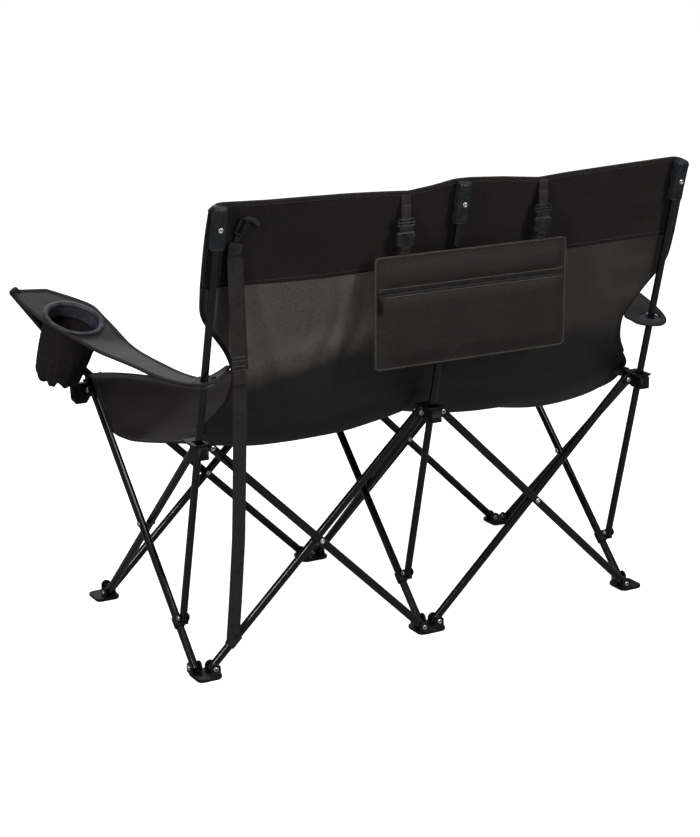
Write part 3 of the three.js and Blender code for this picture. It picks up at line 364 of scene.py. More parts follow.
def sweep(name, path, outline, finish, facing, closed=False):
    # Carries a closed outline of (side, out) pairs along a path; out points along facing
    path = np.array(path, float)
    around = np.roll(path, -1, axis=0) - np.roll(path, 1, axis=0)
    tangent = unit(around if closed else np.gradient(path, axis=0))
    out = np.broadcast_to(np.array(facing, float), path.shape)
    out = unit(out - tangent * np.sum(out * tangent, axis=1, keepdims=True))
    side = np.cross(tangent, out)
    points = [p + s * across + o * rise for p, s, o in zip(path, side, out) for across, rise in outline]
    uvs = [(across, length) for length in lengthsAlong(path) for across, _ in outline]
    edge = len(outline)
    faces = quads(len(path), edge, ring=True, loop=closed)
    if not closed:
        faces += [tuple(range(edge))[::-1], tuple(range(len(points) - edge, len(points)))]
    return outwards(newPiece(name, meshFrom(name, points, faces, uvs), finish))


def ovalOutline(halfWidth, halfHeight, steps=12, power=2.0):
    outline = []
    for k in range(steps):
        c, s = math.cos(2 * math.pi * k / steps), math.sin(2 * math.pi * k / steps)
        outline.append((halfWidth * math.copysign(abs(c) ** (2 / power), c),
                        halfHeight * math.copysign(abs(s) ** (2 / power), s)))
    return outline


def joinPieces(name, pieces, finish):
    mesh = bpy.data.meshes.new(name)
    whole = bmesh.new()
    for piece in pieces:
        whole.from_mesh(piece.data)
        bpy.data.objects.remove(piece)
    whole.to_mesh(mesh)
    whole.free()
    return newPiece(name, mesh, finish)


def boxPiece(lo, hi, bevel, turn=None, segments=2):
    # A bevelled box that is joined to others or copied
    work = bmesh.new()
    bmesh.ops.create_cube(work, size=1.0)
    for vertex in work.verts:
        vertex.co = Vector([c * (b - a) + (a + b) / 2 for c, a, b in zip(vertex.co, lo, hi)])
    bmesh.ops.bevel(work, geom=list(work.edges), offset=bevel, segments=segments, profile=0.5, affect="EDGES")
    if turn is not None:
        work.transform(turn)
    mesh = bpy.data.meshes.new("box")
    work.to_mesh(mesh)
    work.free()
    return newPiece("box", mesh)


def boxes(name, shapes, finish, turn):
    return joinPieces(name, [boxPiece(lo, hi, bevel, turn) for lo, hi, bevel in shapes], finish)


def lathePiece(name, profile, sides, finish, place=None, closed=True):
    # profile: (radius, height) points around a closed section, or from axis to axis where closed is False
    points = []
    for i in range(sides):
        c, s = math.cos(2 * math.pi * i / sides), math.sin(2 * math.pi * i / sides)
        points += [(radius * c, radius * s, height) for radius, height in profile]
    mesh = meshFrom(name, points, quads(sides, len(profile), ring=closed, loop=True))
    weld(mesh)
    if place is not None:
        mesh.transform(place)
    piece = outwards(newPiece(name, mesh, finish))
    shadeSmooth(piece.data)
    return piece


def turnTo(axis, centre):
    return Matrix.Translation(centre) @ upright.rotation_difference(Vector(axis)).to_matrix().to_4x4()


def catmull(rows, steps):
    # Passes a smooth curve through rows of values, with steps points between each two rows
    rows = [np.array(row, float) for row in rows]
    ends = [2 * rows[0] - rows[1]] + rows + [2 * rows[-1] - rows[-2]]
    curve = []
    for a, b, c, d in zip(ends, ends[1:], ends[2:], ends[3:]):
        for k in range(steps):
            t = k / steps
            curve.append(0.5 * (2 * b + (c - a) * t + (2 * a - 5 * b + 4 * c - d) * t ** 2
                                + (3 * b - a - 3 * c + d) * t ** 3))
    return curve + [rows[-1]]


# Geometry Nodes trees: each reads points or edges and makes what repeats on them
def newTree(name, inputs):
    tree = bpy.data.node_groups.new(name, "GeometryNodeTree")
    tree.interface.new_socket("Geometry", in_out="INPUT", socket_type="NodeSocketGeometry")
    for label, kind in {**inputs, "Finish": "Material"}.items():
        tree.interface.new_socket(label, in_out="INPUT", socket_type="NodeSocket" + kind)
    tree.interface.new_socket("Geometry", in_out="OUTPUT", socket_type="NodeSocketGeometry")
    return tree, addNode(tree, "NodeGroupInput").outputs, addNode(tree, "NodeGroupOutput")


def finishTree(tree, given, result, made):
    real = addNode(tree, "GeometryNodeRealizeInstances", {0: made})
    painted = addNode(tree, "GeometryNodeSetMaterial", {
        "Geometry": real.outputs[0], "Material": given["Finish"]})
    feed(tree, result, {0: painted.outputs[0]})
    return tree


def tubeTree():
    tree, given, result = newTree("tube on a line", {"Radius": "Float", "Sides": "Int"})
    line = addNode(tree, "GeometryNodeMeshToCurve", {0: given["Geometry"]})
    ring = addNode(tree, "GeometryNodeCurvePrimitiveCircle", {
        "Resolution": given["Sides"], "Radius": given["Radius"]})
    skin = addNode(tree, "GeometryNodeCurveToMesh", {0: line.outputs[0], 1: ring.outputs[0]},
                   {"Fill Caps": True})
    return finishTree(tree, given, result, skin.outputs[0])


def repeatTree():
    # Puts a copy of one small shape on each point, its Z axis turned to the point's facing and X to its along
    tree, given, result = newTree("copies on points", {"Shape": "Object"})
    facing, along = [addNode(tree, "GeometryNodeInputNamedAttribute", values={"Name": label},
                             data_type="FLOAT_VECTOR").outputs[0] for label in ("facing", "along")]
    shape = addNode(tree, "GeometryNodeObjectInfo", {"Object": given["Shape"]})
    turn = addNode(tree, "FunctionNodeAlignRotationToVector", {"Vector": facing}, axis="Z")
    spin = addNode(tree, "FunctionNodeAlignRotationToVector", {"Rotation": turn.outputs[0], "Vector": along},
                   axis="X", pivot_axis="Z")
    copies = addNode(tree, "GeometryNodeInstanceOnPoints", {
        "Points": given["Geometry"], "Instance": shape.outputs["Geometry"], "Rotation": spin.outputs[0]})
    return finishTree(tree, given, result, copies.outputs[0])


def evaluatedMesh(piece):
    bpy.context.view_layer.update()
    return bpy.data.meshes.new_from_object(piece.evaluated_get(bpy.context.evaluated_depsgraph_get()))


def runTree(name, tree, source, values, finish):
    modifier = source.modifiers.new("make", "NODES")
    modifier.node_group = tree
    values["Finish"] = finishes[finish]
    for item in tree.interface.items_tree:
        if item.item_type == "SOCKET" and item.in_out == "INPUT" and item.name in values:
            modifier[item.identifier] = values[item.name]
    mesh = evaluatedMesh(source)
    bpy.data.objects.remove(source)
    shadeSmooth(mesh)
    return newPiece(name, mesh, finish)


trees = {"tube": tubeTree(), "repeat": repeatTree()}


def linePiece(name, points, radius, finish, sides=28):
    mesh = bpy.data.meshes.new(name)
    mesh.from_pydata([tuple(p) for p in points], [(i, i + 1) for i in range(len(points) - 1)], [])
    values = {"Radius": radius, "Sides": sides}
    piece = outwards(runTree(name, trees["tube"], newPiece(name, mesh), values, finish))
    for polygon in piece.data.polygons:
        polygon.use_smooth = len(polygon.vertices) == 4
    return piece


def copiesOn(name, spots, shape, finish):
    # spots: (point, facing, along)
    mesh = bpy.data.meshes.new(name)
    mesh.from_pydata([tuple(spot[0]) for spot in spots], [], [])
    for index, label in ((1, "facing"), (2, "along")):
        attribute = mesh.attributes.new(label, "FLOAT_VECTOR", "POINT")
        vectors = np.array([tuple(spot[index]) for spot in spots], np.float32)
        attribute.data.foreach_set("vector", vectors.ravel())
    return runTree(name, trees["repeat"], newPiece(name, mesh), {"Shape": shape}, finish)


stitch = {"spacing": 0.0046, "length": 0.0032, "thickness": 0.0009}


def sewn(name, spots, finish="thread", length=stitch["length"], thick=stitch["thickness"]):
    # Stitches lie along their row, a little sunk in the cloth
    lo, hi = (-length / 2, -thick / 2, -thick / 3), (length / 2, thick / 2, thick / 2)
    seed = boxPiece(lo, hi, thick * 0.3, segments=1)
    row = copiesOn(name, spots, seed, finish)
    bpy.data.objects.remove(seed)
    return row


def stitchesOn(name, points, facings, lift, finish="thread"):
    # Two rows of stitches, one on each face of the cloth
    lengths = lengthsAlong(points)
    wanted = np.arange(0.003, lengths[-1], stitch["spacing"])
    place, out = pointsAt(wanted, lengths, points), pointsAt(wanted, lengths, facings)
    along = np.gradient(place, axis=0)
    spots = [(p + o * way * lift, o * way, t) for p, o, t in zip(place, out, along) for way in (1, -1)]
    return sewn(name, spots, finish)


bodies = {node: body for body, members in frame["record"]["behaviour"]["bodies"].items() for node in members}


def standFor(node, *pieces):
    # The pieces go with the node's body and are shown in its place
    for piece in pieces:
        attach(piece, bodies[node])
        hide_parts(node)


def settle(node, pieces):
    # Cloth pieces go with the node's body, each with its own copy of its mesh
    for piece in pieces:
        standFor(node, piece)
        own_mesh(piece)


print("tools ready")

# Camera: the photograph's view from behind the sitters' left
view = {
    "place": (2.0115, 3.5177, 1.5283), "right": (-0.8715, 0.4904, -0.0040), "up": (-0.1379, -0.2372, 0.9616),
    "ahead": (-0.4706, -0.8386, -0.2744), "lens": 89.92,
}
camera = bpy.data.objects.new("camera", bpy.data.cameras.new("camera"))
scene.collection.objects.link(camera)
camera.data.lens = view["lens"]
camera.data.sensor_width = 36
camera.data.sensor_fit = "AUTO"
camera.data.clip_end = 60
axes = Matrix((view["right"], view["up"], [-v for v in view["ahead"]])).transposed()
camera.matrix_world = Matrix.Translation(placed(*view["place"])) @ axes.to_4x4()
scene.camera = camera

# Studio: pale floor and backdrop seen as white, with wide soft lamps
studio = {
    "worldLight": 0.2, "floorGlow": 0.86, "bounce": "#8c8c8c", "floorHalf": 9.0,
    "lamps": [
        {"name": "key", "place": (3.1, 1.9, 2.6), "size": (0.3, 1.9), "power": 66, "aim": (0, 0.1, 0.5)},
        {"name": "fill", "place": (-1.3, 3.8, 2.4), "size": (0.5, 1.2), "power": 60, "aim": (0, 0, 0.5)},
        {"name": "top", "place": (0.2, 0.9, 3.2), "size": (2.2, 0.5), "power": 34, "aim": (0, 0, 0.5)},
        {"name": "front", "place": (-0.4, -3.0, 2.2), "size": (2.4, 0.5), "power": 20, "aim": (0, 0, 0.4)},
    ],
}


def makeStudio():
    world = bpy.data.worlds.new("studio")
    scene.world = world
    world.use_nodes = True
    tree = world.node_tree
    seen = addNode(tree, "ShaderNodeLightPath").outputs["Is Camera Ray"]
    strength = rangeOf(tree, seen, studio["worldLight"], 1.0, 0, 1)
    background = tree.nodes["Background"]
    background.inputs["Color"].default_value = (1, 1, 1, 1)
    feed(tree, background, {"Strength": strength})
    for lamp in studio["lamps"]:
        light = bpy.data.lights.new(lamp["name"], "AREA")
        light.shape = "RECTANGLE"
        light.size, light.size_y = lamp["size"]
        light.energy = lamp["power"]
        holder = bpy.data.objects.new(lamp["name"], light)
        scene.collection.objects.link(holder)
        place = placed(*lamp["place"])
        aim = placed(*lamp["aim"]) - place
        holder.matrix_world = Matrix.Translation(place) @ aim.to_track_quat("-Z", "Y").to_matrix().to_4x4()


def makeFloor():
    half = studio["floorHalf"]
    points = [(-half, -half, 0), (half, -half, 0), (half, half, 0), (-half, half, 0)]
    floor = newPiece("floor", meshFrom("floor", points, [(0, 1, 2, 3)]))
    material, tree, shader = startMaterial("paper_floor", {"Roughness": 0.9, "Specular IOR Level": 0.1})
    seen = addNode(tree, "ShaderNodeLightPath").outputs["Is Camera Ray"]
    feed(tree, shader, {"Base Color": mixColour(tree, seen, studio["bounce"], "#f4f4f4")})
    lift = calc(tree, "MULTIPLY", seen, studio["floorGlow"])
    glow = addNode(tree, "ShaderNodeEmission", {"Strength": lift})
    both = addNode(tree, "ShaderNodeAddShader", {0: shader.outputs[0], 1: glow.outputs[0]})
    feed(tree, tree.nodes["Material Output"], {"Surface": both.outputs[0]})
    floor.data.materials.append(material)


scene.view_settings.view_transform = "Standard"
makeStudio()
makeFloor()
print("camera, lamps and floor ready")

# Frame sizes, repeated from the part
sizes = {
    "bay": 0.487, "rearRow": 0.244, "frontRow": -0.249, "pivot": 0.0165, "hub": 0.4475,
    "crossInset": 0.0205, "sideInset": 0.0235, "rearLayer": 0.0085, "frontLayer": -0.008,
    "sideLayer": 0.00825, "rowMiddle": -0.0025, "crossRadius": 0.008, "sideRadius": 0.00775,
    "postRadius": 0.007, "plug": 0.006,
}
columns = {"left": sizes["bay"], "centre": 0.0, "right": -sizes["bay"]}
rowPlaces = {"rear": sizes["rearRow"], "front": sizes["frontRow"]}
postSizes = {
    "clipAlong": 0.095, "clipOffset": 0.0175, "behindRow": 0.0055, "outward": 0.003, "top": 0.893,
    "capAhead": 0.0105, "rivetDown": 0.0287, "capBehind": 0.012,
}
tubeRun, tubeRise = sizes["bay"] - 2 * sizes["crossInset"], sizes["hub"] - sizes["pivot"]
tubeSlope = tubeRise / tubeRun


def postFoot(column):
    rise = Vector((0, -tubeRun, tubeRise)).normalized()
    y, z = sizes["rearRow"] - sizes["sideInset"], sizes["pivot"]
    y += postSizes["clipAlong"] * rise.y + postSizes["clipOffset"] * rise.z
    z += postSizes["clipAlong"] * rise.z - postSizes["clipOffset"] * rise.y
    out = math.copysign(postSizes["outward"], columns[column]) if columns[column] else 0.0
    return Vector((columns[column] + out, y, z))


lean = math.atan2(sizes["rearRow"] + postSizes["behindRow"] - postFoot("centre").y,
                  sizes["hub"] - postFoot("centre").z)
postWay = Vector((0, math.sin(lean), math.cos(lean)))
acrossPost = Vector((0, math.cos(lean), -math.sin(lean)))


def postAt(column, z):
    start = postFoot(column)
    return Vector((start.x, start.y + (z - start.z) * math.tan(lean), z))


# Tubes
def spanTube(name, start, end, radius):
    start, end = Vector(start), Vector(end)
    plug = (end - start).normalized() * sizes["plug"]
    points = [placed(*(start - plug).lerp(end + plug, i / 6)) for i in range(7)]
    standFor(name, linePiece(name + "_coated", points, radius, "tube"))


armSizes = {"bendOut": 0.045, "tipOut": 0.154, "tipHeight": 0.6555, "bendRun": 0.026}


def armTube(side, way, y):
    inset, bendOut = sizes["crossInset"], armSizes["bendOut"]
    start = Vector((way * inset, y, sizes["pivot"]))
    bend = Vector((way * (sizes["bay"] + bendOut), y, sizes["hub"] + (bendOut + inset) * tubeSlope))
    tip = Vector((way * (sizes["bay"] + armSizes["tipOut"]), y, armSizes["tipHeight"]))
    before = bend + (start - bend).normalized() * armSizes["bendRun"]
    after = bend + (tip - bend).normalized() * armSizes["bendRun"]
    first = start - (bend - start).normalized() * sizes["plug"]
    path = [first.lerp(before, i / 8) for i in range(8)]
    path += [before * (1 - t) ** 2 + bend * 2 * t * (1 - t) + after * t ** 2
             for t in np.linspace(0, 1, 9).tolist()]
    path += [after.lerp(tip, i / 3) for i in range(1, 4)]
    name = f"front_{side}_arm_tube"
    standFor(name, linePiece(name + "_coated", [placed(*p) for p in path], sizes["crossRadius"], "tube"))


def makeTubes():
    inset, low, high, radius = sizes["crossInset"], sizes["pivot"], sizes["hub"], sizes["crossRadius"]
    for row, rowY in rowPlaces.items():
        for side, way in hands.items():
            far = way * sizes["bay"]
            near = way * inset
            fromSide, fromCentre = rowY + sizes["frontLayer"], rowY + sizes["rearLayer"]
            if (side == "left") != (row == "rear"):
                fromSide, fromCentre = fromCentre, fromSide
            spanTube(f"{row}_{side}_tube_from_side", (far - near, fromSide, low), (near, fromSide, high),
                     radius)
            if row == "rear":
                spanTube(f"rear_{side}_tube_from_centre", (near, fromCentre, low),
                         (far - near, fromCentre, high), radius)
            else:
                armTube(side, way, fromCentre)
    rearY, frontY = sizes["rearRow"] - sizes["sideInset"], sizes["frontRow"] + sizes["sideInset"]
    for side, x in columns.items():
        for end, fromY, toY, way in (("rear", rearY, frontY, 1), ("front", frontY, rearY, -1)):
            tubeX = x + way * sizes["sideLayer"]
            spanTube(f"{side}_side_tube_from_{end}", (tubeX, fromY, low), (tubeX, toY, high),
                     sizes["sideRadius"])
        spanTube(f"{side}_post", postFoot(side), postAt(side, postSizes["top"]), sizes["postRadius"])


makeTubes()
print("tubes made")

# Moulded parts keep their CAD shape, with the edges rounded as a mould leaves them
moulded = {"voxel": 0.001, "smoothing": 4, "kept": 0.3}
boot = {"x": 0.511, "y": -0.305 - rowShift, "z": 0.431, "halfX": 0.0205, "halfZ": 0.025, "top": 0.446,
        "fade": 0.014, "round": 1.5, "bulge": 1.1, "behind": 0.009}
collar = {"x": 0.490, "y": 0.1923 - rowShift, "from": 0.445, "flange": 0.4695, "drop": 0.014,
          "insideX": 0.0112, "insideY": 0.021, "kept": 0.45, "whole": 0.85}


def roundBoot(mesh, way):
    # The part of a front hub under the seat's corner is a sack: round below and thicker in its middle
    middle = placed(boot["x"] * way, boot["y"], boot["z"])
    for vert in mesh.vertices:
        point = vert.co
        if point.y > middle.y + boot["behind"] or point.z > boot["top"]:
            continue
        across, up = (point.x - middle.x) / boot["halfX"], (point.z - middle.z) / boot["halfZ"]
        reach = math.hypot(across, up)
        weight = min(1.0, (boot["top"] - point.z) / boot["fade"])
        if up < 0 and reach > 0:
            squeeze = (max(abs(across), abs(up)) / reach) ** (boot["round"] * weight)
            point.x = middle.x + (point.x - middle.x) * squeeze
            point.z = middle.z + (point.z - middle.z) * squeeze
        point.y = middle.y + (point.y - middle.y) * (1 + boot["bulge"] * weight * max(0.0, 1 - reach ** 2))


def drawnIn(distance, inside):
    spare = max(0.0, abs(distance) - inside)
    return math.copysign(abs(distance) - spare * (1 - collar["kept"]), distance)


def tightCollar(mesh, column):
    # The flange round a post sits low on its hub and reaches little past the slot
    middleX = math.copysign(collar["x"], columns[column]) if columns[column] else 0.0
    middleY = placed(0, collar["y"], 0).y
    for vert in mesh.vertices:
        point = vert.co
        share = min(1.0, (point.z - collar["from"]) / (collar["flange"] - collar["from"]))
        if share > 0:
            point.z -= collar["drop"] * share
        if share > collar["whole"]:
            point.x = middleX + drawnIn(point.x - middleX, collar["insideX"])
            point.y = middleY + drawnIn(point.y - middleY, collar["insideY"])


def softened(node):
    mesh = frame["nodes"][node].data.copy()
    weld(mesh)
    for layer in list(mesh.uv_layers):
        mesh.uv_layers.remove(layer)
    rough = newPiece(node + "_rough", mesh, "nylon")
    for kind, settings in (
        ("REMESH", {"mode": "VOXEL", "voxel_size": moulded["voxel"], "use_smooth_shade": True}),
        ("SMOOTH", {"factor": 0.5, "iterations": moulded["smoothing"]}),
        ("DECIMATE", {"ratio": moulded["kept"]}),
    ):
        modifier = rough.modifiers.new(kind, kind)
        for label, value in settings.items():
            setattr(modifier, label, value)
    finished = evaluatedMesh(rough)
    bpy.data.objects.remove(rough)
    if node in ("front_left_hub", "front_right_hub"):
        roundBoot(finished, 1 if "left" in node else -1)
    if node.startswith("rear_") and node.endswith("_hub"):
        tightCollar(finished, node.split("_")[1])
    shadeSmooth(finished)
    standFor(node, newPiece(node + "_moulded", finished, "nylon"))


for node in sorted(frame["nodes"]):
    if node.endswith(("_foot", "_hub", "_clip", "_tube_cap")):
        softened(node)

# Post caps: heights from 0 to 1 and the section's scale there
postCap = {"low": -0.0665, "high": 0.0113, "halfX": 0.0132, "halfY": 0.0112, "shiftY": 0.0007, "power": 3.2,
           "steps": [(0, 0.93), (0.03, 0.985), (0.08, 1), (0.3, 0.99), (0.55, 1.01), (0.8, 1.04), (0.9, 1.05),
                     (0.955, 1.01), (0.985, 0.93), (0.997, 0.8), (1, 0.6)],
           "collar": (-0.0002, 0.0022), "collarScale": 0.99, "sides": 40}


def makePostCap(column):
    # A moulded sleeve, oblong in section, closed over the post's top with a rounded end
    node, low, high = f"{column}_post_cap", postCap["low"], postCap["high"]
    top = postAt(column, postSizes["top"]) + acrossPost * postCap["shiftY"]
    outline = ovalOutline(postCap["halfX"], postCap["halfY"], postCap["sides"], postCap["power"])
    points = []
    for share, scale in postCap["steps"]:
        middle = top + postWay * (low + (high - low) * share)
        points += [placed(*(middle + Vector((across * scale, 0, 0)) + acrossPost * (out * scale)))
                   for across, out in outline]
    count = len(outline)
    faces = quads(len(postCap["steps"]), count, ring=True)
    faces += [tuple(range(count))[::-1], tuple(range(len(points) - count, len(points)))]
    cap = outwards(newPiece(node + "_moulded", meshFrom(node, points, faces), "capNylon"))
    narrowed = [(across * postCap["collarScale"], out * postCap["collarScale"]) for across, out in outline]
    band = [placed(*(top + postWay * (low + step))) for step in postCap["collar"]]
    standFor(node, cap, sweep(node + "_collar", band, narrowed, "capNylon", acrossPost))


for column in columns:
    makePostCap(column)
print("moulded parts made")

# Rivets: domed heads with a sunk middle, one tree for all of them
rivetHead = {"radius": 0.0052, "height": 0.0019, "dimple": 0.0023, "depth": 0.0015, "cheek": 0.004,
             "backBlock": 0.009, "gap": 0.0003, "shank": 0.0028, "foot": -0.0004, "clipCheek": 0.003}


def headSeed():
    r, h, d = rivetHead["radius"], rivetHead["height"], rivetHead["dimple"]
    sunk, foot = h - rivetHead["depth"], rivetHead["foot"]
    profile = [(0, sunk), (d * 0.7, sunk), (d, h * 0.86), (d * 1.25, h), (r * 0.62, h * 0.97),
               (r * 0.88, h * 0.72), (r, h * 0.3), (r, foot), (0, foot)]
    return lathePiece("headSeed", profile, 20, None, closed=False)


def headSpots():
    clear, cheek = sizes["crossRadius"] + rivetHead["gap"], rivetHead["cheek"]
    sideClear = sizes["sideRadius"] + rivetHead["gap"] + cheek
    spots = {}

    def add(body, point, facing, reach):
        facing = Vector(facing)
        spots.setdefault(body, []).append((placed(*(Vector(point) + facing * reach)), facing, upright))

    for column, x in columns.items():
        for row, rowY in rowPlaces.items():
            inward = -1 if row == "rear" else 1
            for level, rise in (("foot", sizes["pivot"]), ("hub", sizes["hub"])):
                body = f"{row}_{column}_{level}"
                for way in (1, -1):
                    if abs(x + way * sizes["bay"]) > sizes["bay"] * 1.5:
                        continue
                    rising = way if level == "foot" else -way
                    ahead, back = (clear, clear + cheek) if rising < 0 else (clear + cheek, clear)
                    if level == "foot":
                        ahead, back = clear + cheek, clear + (rivetHead["backBlock"] if rising < 0 else cheek)
                    layer = sizes["rearLayer" if rising > 0 else "frontLayer"]
                    point = (x + way * sizes["crossInset"], rowY + layer, rise)
                    add(body, point, (0, 1, 0), back)
                    add(body, point, (0, -1, 0), ahead)
                sideWay = 1 if (row == "rear") == (level == "foot") else -1
                point = (x + sideWay * sizes["sideLayer"], rowY + inward * sizes["sideInset"], rise)
                for way in (1, -1):
                    add(body, point, (way, 0, 0), sideClear)
        reach = sizes["postRadius"] + rivetHead["gap"] + rivetHead["clipCheek"]
        for way in (1, -1):
            add(f"{column}_side_tube_from_rear", postFoot(column), (way, 0, 0), reach)
        capAt = postAt(column, postSizes["top"]) - postWay * postSizes["rivetDown"]
        add(f"{column}_post", capAt, acrossPost, postSizes["capBehind"])
    return spots


def crossings():
    # Each crossing rivet's node, centre, axis and half length
    middle, half = (sizes["pivot"] + sizes["hub"]) / 2, (sizes["rearLayer"] - sizes["frontLayer"]) / 2
    layer = (sizes["rearLayer"] + sizes["frontLayer"]) / 2
    for row, rowY in rowPlaces.items():
        for side, way in hands.items():
            yield (f"{row}_{side}_crossing_rivet", Vector((way * sizes["bay"] / 2, rowY + layer, middle)),
                   Vector((0, 1, 0)), half + sizes["crossRadius"] + rivetHead["gap"])
    for side, x in columns.items():
        yield (f"{side}_side_crossing_rivet", Vector((x, sizes["rowMiddle"], middle)), Vector((1, 0, 0)),
               sizes["sideLayer"] + sizes["sideRadius"] + rivetHead["gap"])


def makeRivets():
    seed = headSeed()
    for body, spots in headSpots().items():
        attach(copiesOn(body + "_rivet_heads", spots, seed, "rivet"), body)
    for node, centre, axis, reach in crossings():
        near, far = placed(*(centre - axis * reach)), placed(*(centre + axis * reach))
        heads = copiesOn(node + "_heads", [(far, axis, upright), (near, -axis, upright)], seed, "rivet")
        shank = linePiece(node + "_shank", [near, far], rivetHead["shank"], "rivet", 12)
        standFor(node, joinPieces(node + "_set", [heads, shank], "rivet"))
    bpy.data.objects.remove(seed)


makeRivets()
print("rivets made")

# Sling: seat and back on smooth curves through the part's own rows
# Each row in millimetres: half width, y and z at the edge, in mid-bay and at the centre, then how far the
# cloth comes to a peak at the centre, how much lower the right end hangs, and how far the left edge bulges
seatFrontRows = [
    (474, -256, 471.4, -256, 432, -256, 464, 0, 0, 22),
    (472, -230, 471.4, -230, 424, -230, 463.6, 0, 0, 26),
    (470, -214, 464, -214, 420, -214, 459, 0, 0, 28),
    (468, -196, 424, -196, 414, -196, 452, 0.3, 0, 26),
    (467, -165, 378, -160, 404, -160, 437, 0.8, 2, 18),
    (464, -110, 372, -105, 392, -105, 422, 1, 4, 12),
    (462, -55, 380, -50, 386, -50, 412.5, 1, 9, 5),
    (461, 0, 392, 0, 384, 0, 409.5, 1, 14, 0),
]
seatRearRows = seatFrontRows[-1:] + [
    (459, 50, 405, 50, 385, 50, 411, 1, 18, 0),
    (458, 100, 418, 100, 391, 100, 417, 1, 21, 0),
    (459, 150, 434, 152, 404, 150, 429, 1, 21, 0),
    (462, 184, 452, 194, 425, 182, 447, 0.6, 13, 0),
    (463, 206.5, 474, 222, 456, 206.5, 471.5, 0.2, 4, 0),
    (443, 222, 500, 238, 492, 219, 500, 0, 0, 0),
]
sling = {
    "columns": 120, "between": 9, "thickness": 0.0016, "hem": 0.0052, "binding": 0.0045,
    "bindingHeight": 0.0021, "seamHalf": 0.005, "clothAhead": 0.0018, "steepness": 2.4, "dropFrom": 230,
    "dropSpread": 0.9,
}


def onPost(z):
    ahead = postSizes["capAhead"] / math.cos(lean) + sling["clothAhead"]
    return (postAt("centre", z / 1000).y - ahead) * 1000


def backRow(half, z, midZ, midAhead=3):
    return (half, onPost(z), z, onPost(midZ) - midAhead, midZ, onPost(z), z, 0, 0, 0)


backLowRows = seatRearRows[-1:] + [
    (428, 240, 530, 250, 524, 238, 530, 0, 0, 0),
    (424, 257, 568, 263, 565, onPost(568), 568, 0, 0, 0),
    backRow(442, 615, 613, 2), backRow(486, 673, 670), backRow(507, 706, 702), backRow(512, 755, 748),
]
backTopRows = backLowRows[-1:] + [backRow(512, 815, 808), backRow(511, 865, 855), backRow(509, 911, 897)]


def fall(t, peak):
    # From 0 at a hub to 1 in mid-bay: an even curve, or one that leaves the hub steeply
    return (1 - peak) * eased(t) + peak * (1 - (1 - t) ** sling["steepness"])


def slingPoint(row, share):
    half, edgeY, edgeZ, midY, midZ, centreY, centreZ, peak, rightDrop, leftOut = row
    x, bend = share * half, sizes["bay"] * 500
    across = abs(x)
    sideShare = clamped((across - sling["dropFrom"]) / (half - sling["dropFrom"]))
    drop = rightDrop * math.sin(math.pi / 2 * sideShare) ** sling["dropSpread"] if x < 0 else 0.0
    if across < bend:
        t, fromY, fromZ = fall(across / bend, peak), centreY, centreZ
    else:
        t, fromY, fromZ = fall((half - across) / (half - bend), peak), edgeY, edgeZ
    reach = x + leftOut * max(0.0, share) ** 4
    return np.array((reach, fromY + (midY - fromY) * t, fromZ + (midZ - fromZ) * t - drop)) / 1000


backEdge = {
    "x": (-0.518, -0.474, -0.242, -0.173, -0.092, -0.02, 0.014, 0.06, 0.11, 0.234, 0.396, 0.44, 0.504),
    "z": (0.903, 0.910, 0.900, 0.895, 0.904, 0.909, 0.909, 0.901, 0.895, 0.901, 0.904, 0.906, 0.909),
    "from": 0.80, "to": 0.905, "skew": 0.0045, "cornerWidth": 0.03, "cornerDrop": 0.012, "half": 0.509,
    "outer": 0.51, "outerRun": 0.2665, "atPost": 0.911, "sag": 0.014,
}


def shapedBack(point):
    # The hem's own line between the posts, softened corners, and edges that lie a little to the right
    x, y, z = point
    across, middle = abs(x), sizes["bay"] / 2
    rise = clamped((z - backEdge["from"]) / (backEdge["to"] - backEdge["from"]))
    if rise > 0:
        inBay = across / middle if across < middle else (backEdge["outer"] - across) / backEdge["outerRun"]
        drawn = backEdge["atPost"] - backEdge["sag"] * clamped(eased(inBay))
        z += (np.interp(x, backEdge["x"], backEdge["z"]) - drawn) * rise ** 1.5
        side = clamped((across - backEdge["half"]) / backEdge["cornerWidth"] + 1)
        z -= backEdge["cornerDrop"] * side ** 3 * rise ** 3
    return np.array((x - backEdge["skew"] * min(1.0, across / 0.5) ** 3, y, z))


rightEdge = {
    "reach": 0.026, "z": 0.475, "spread": 0.11, "from": 0.3, "over": 0.13, "behind": 0.1, "fade": 0.08,
}


def rightSpread(x, y, z):
    # The right edge lies a little further out where the back meets the seat
    share = clamped((-x - rightEdge["from"]) / rightEdge["over"])
    share *= eased(clamped((y - rightEdge["behind"]) / rightEdge["fade"]))
    return rightEdge["reach"] * share * math.exp(-((z - rightEdge["z"]) / rightEdge["spread"]) ** 2)


backWrinkles = {
    "soft": 0.005, "pleat": 0.0062, "pleatX": 0.215, "pleatSpread": 0.05, "tug": 0.004, "fold": 0.011,
    "foldZ": 0.64, "foldSlope": 0.17, "foldWidth": 0.035,
}


def cloudAt(x, y, z):
    return noise.noise(Vector((x, y, z))) * 0.5 + 0.5


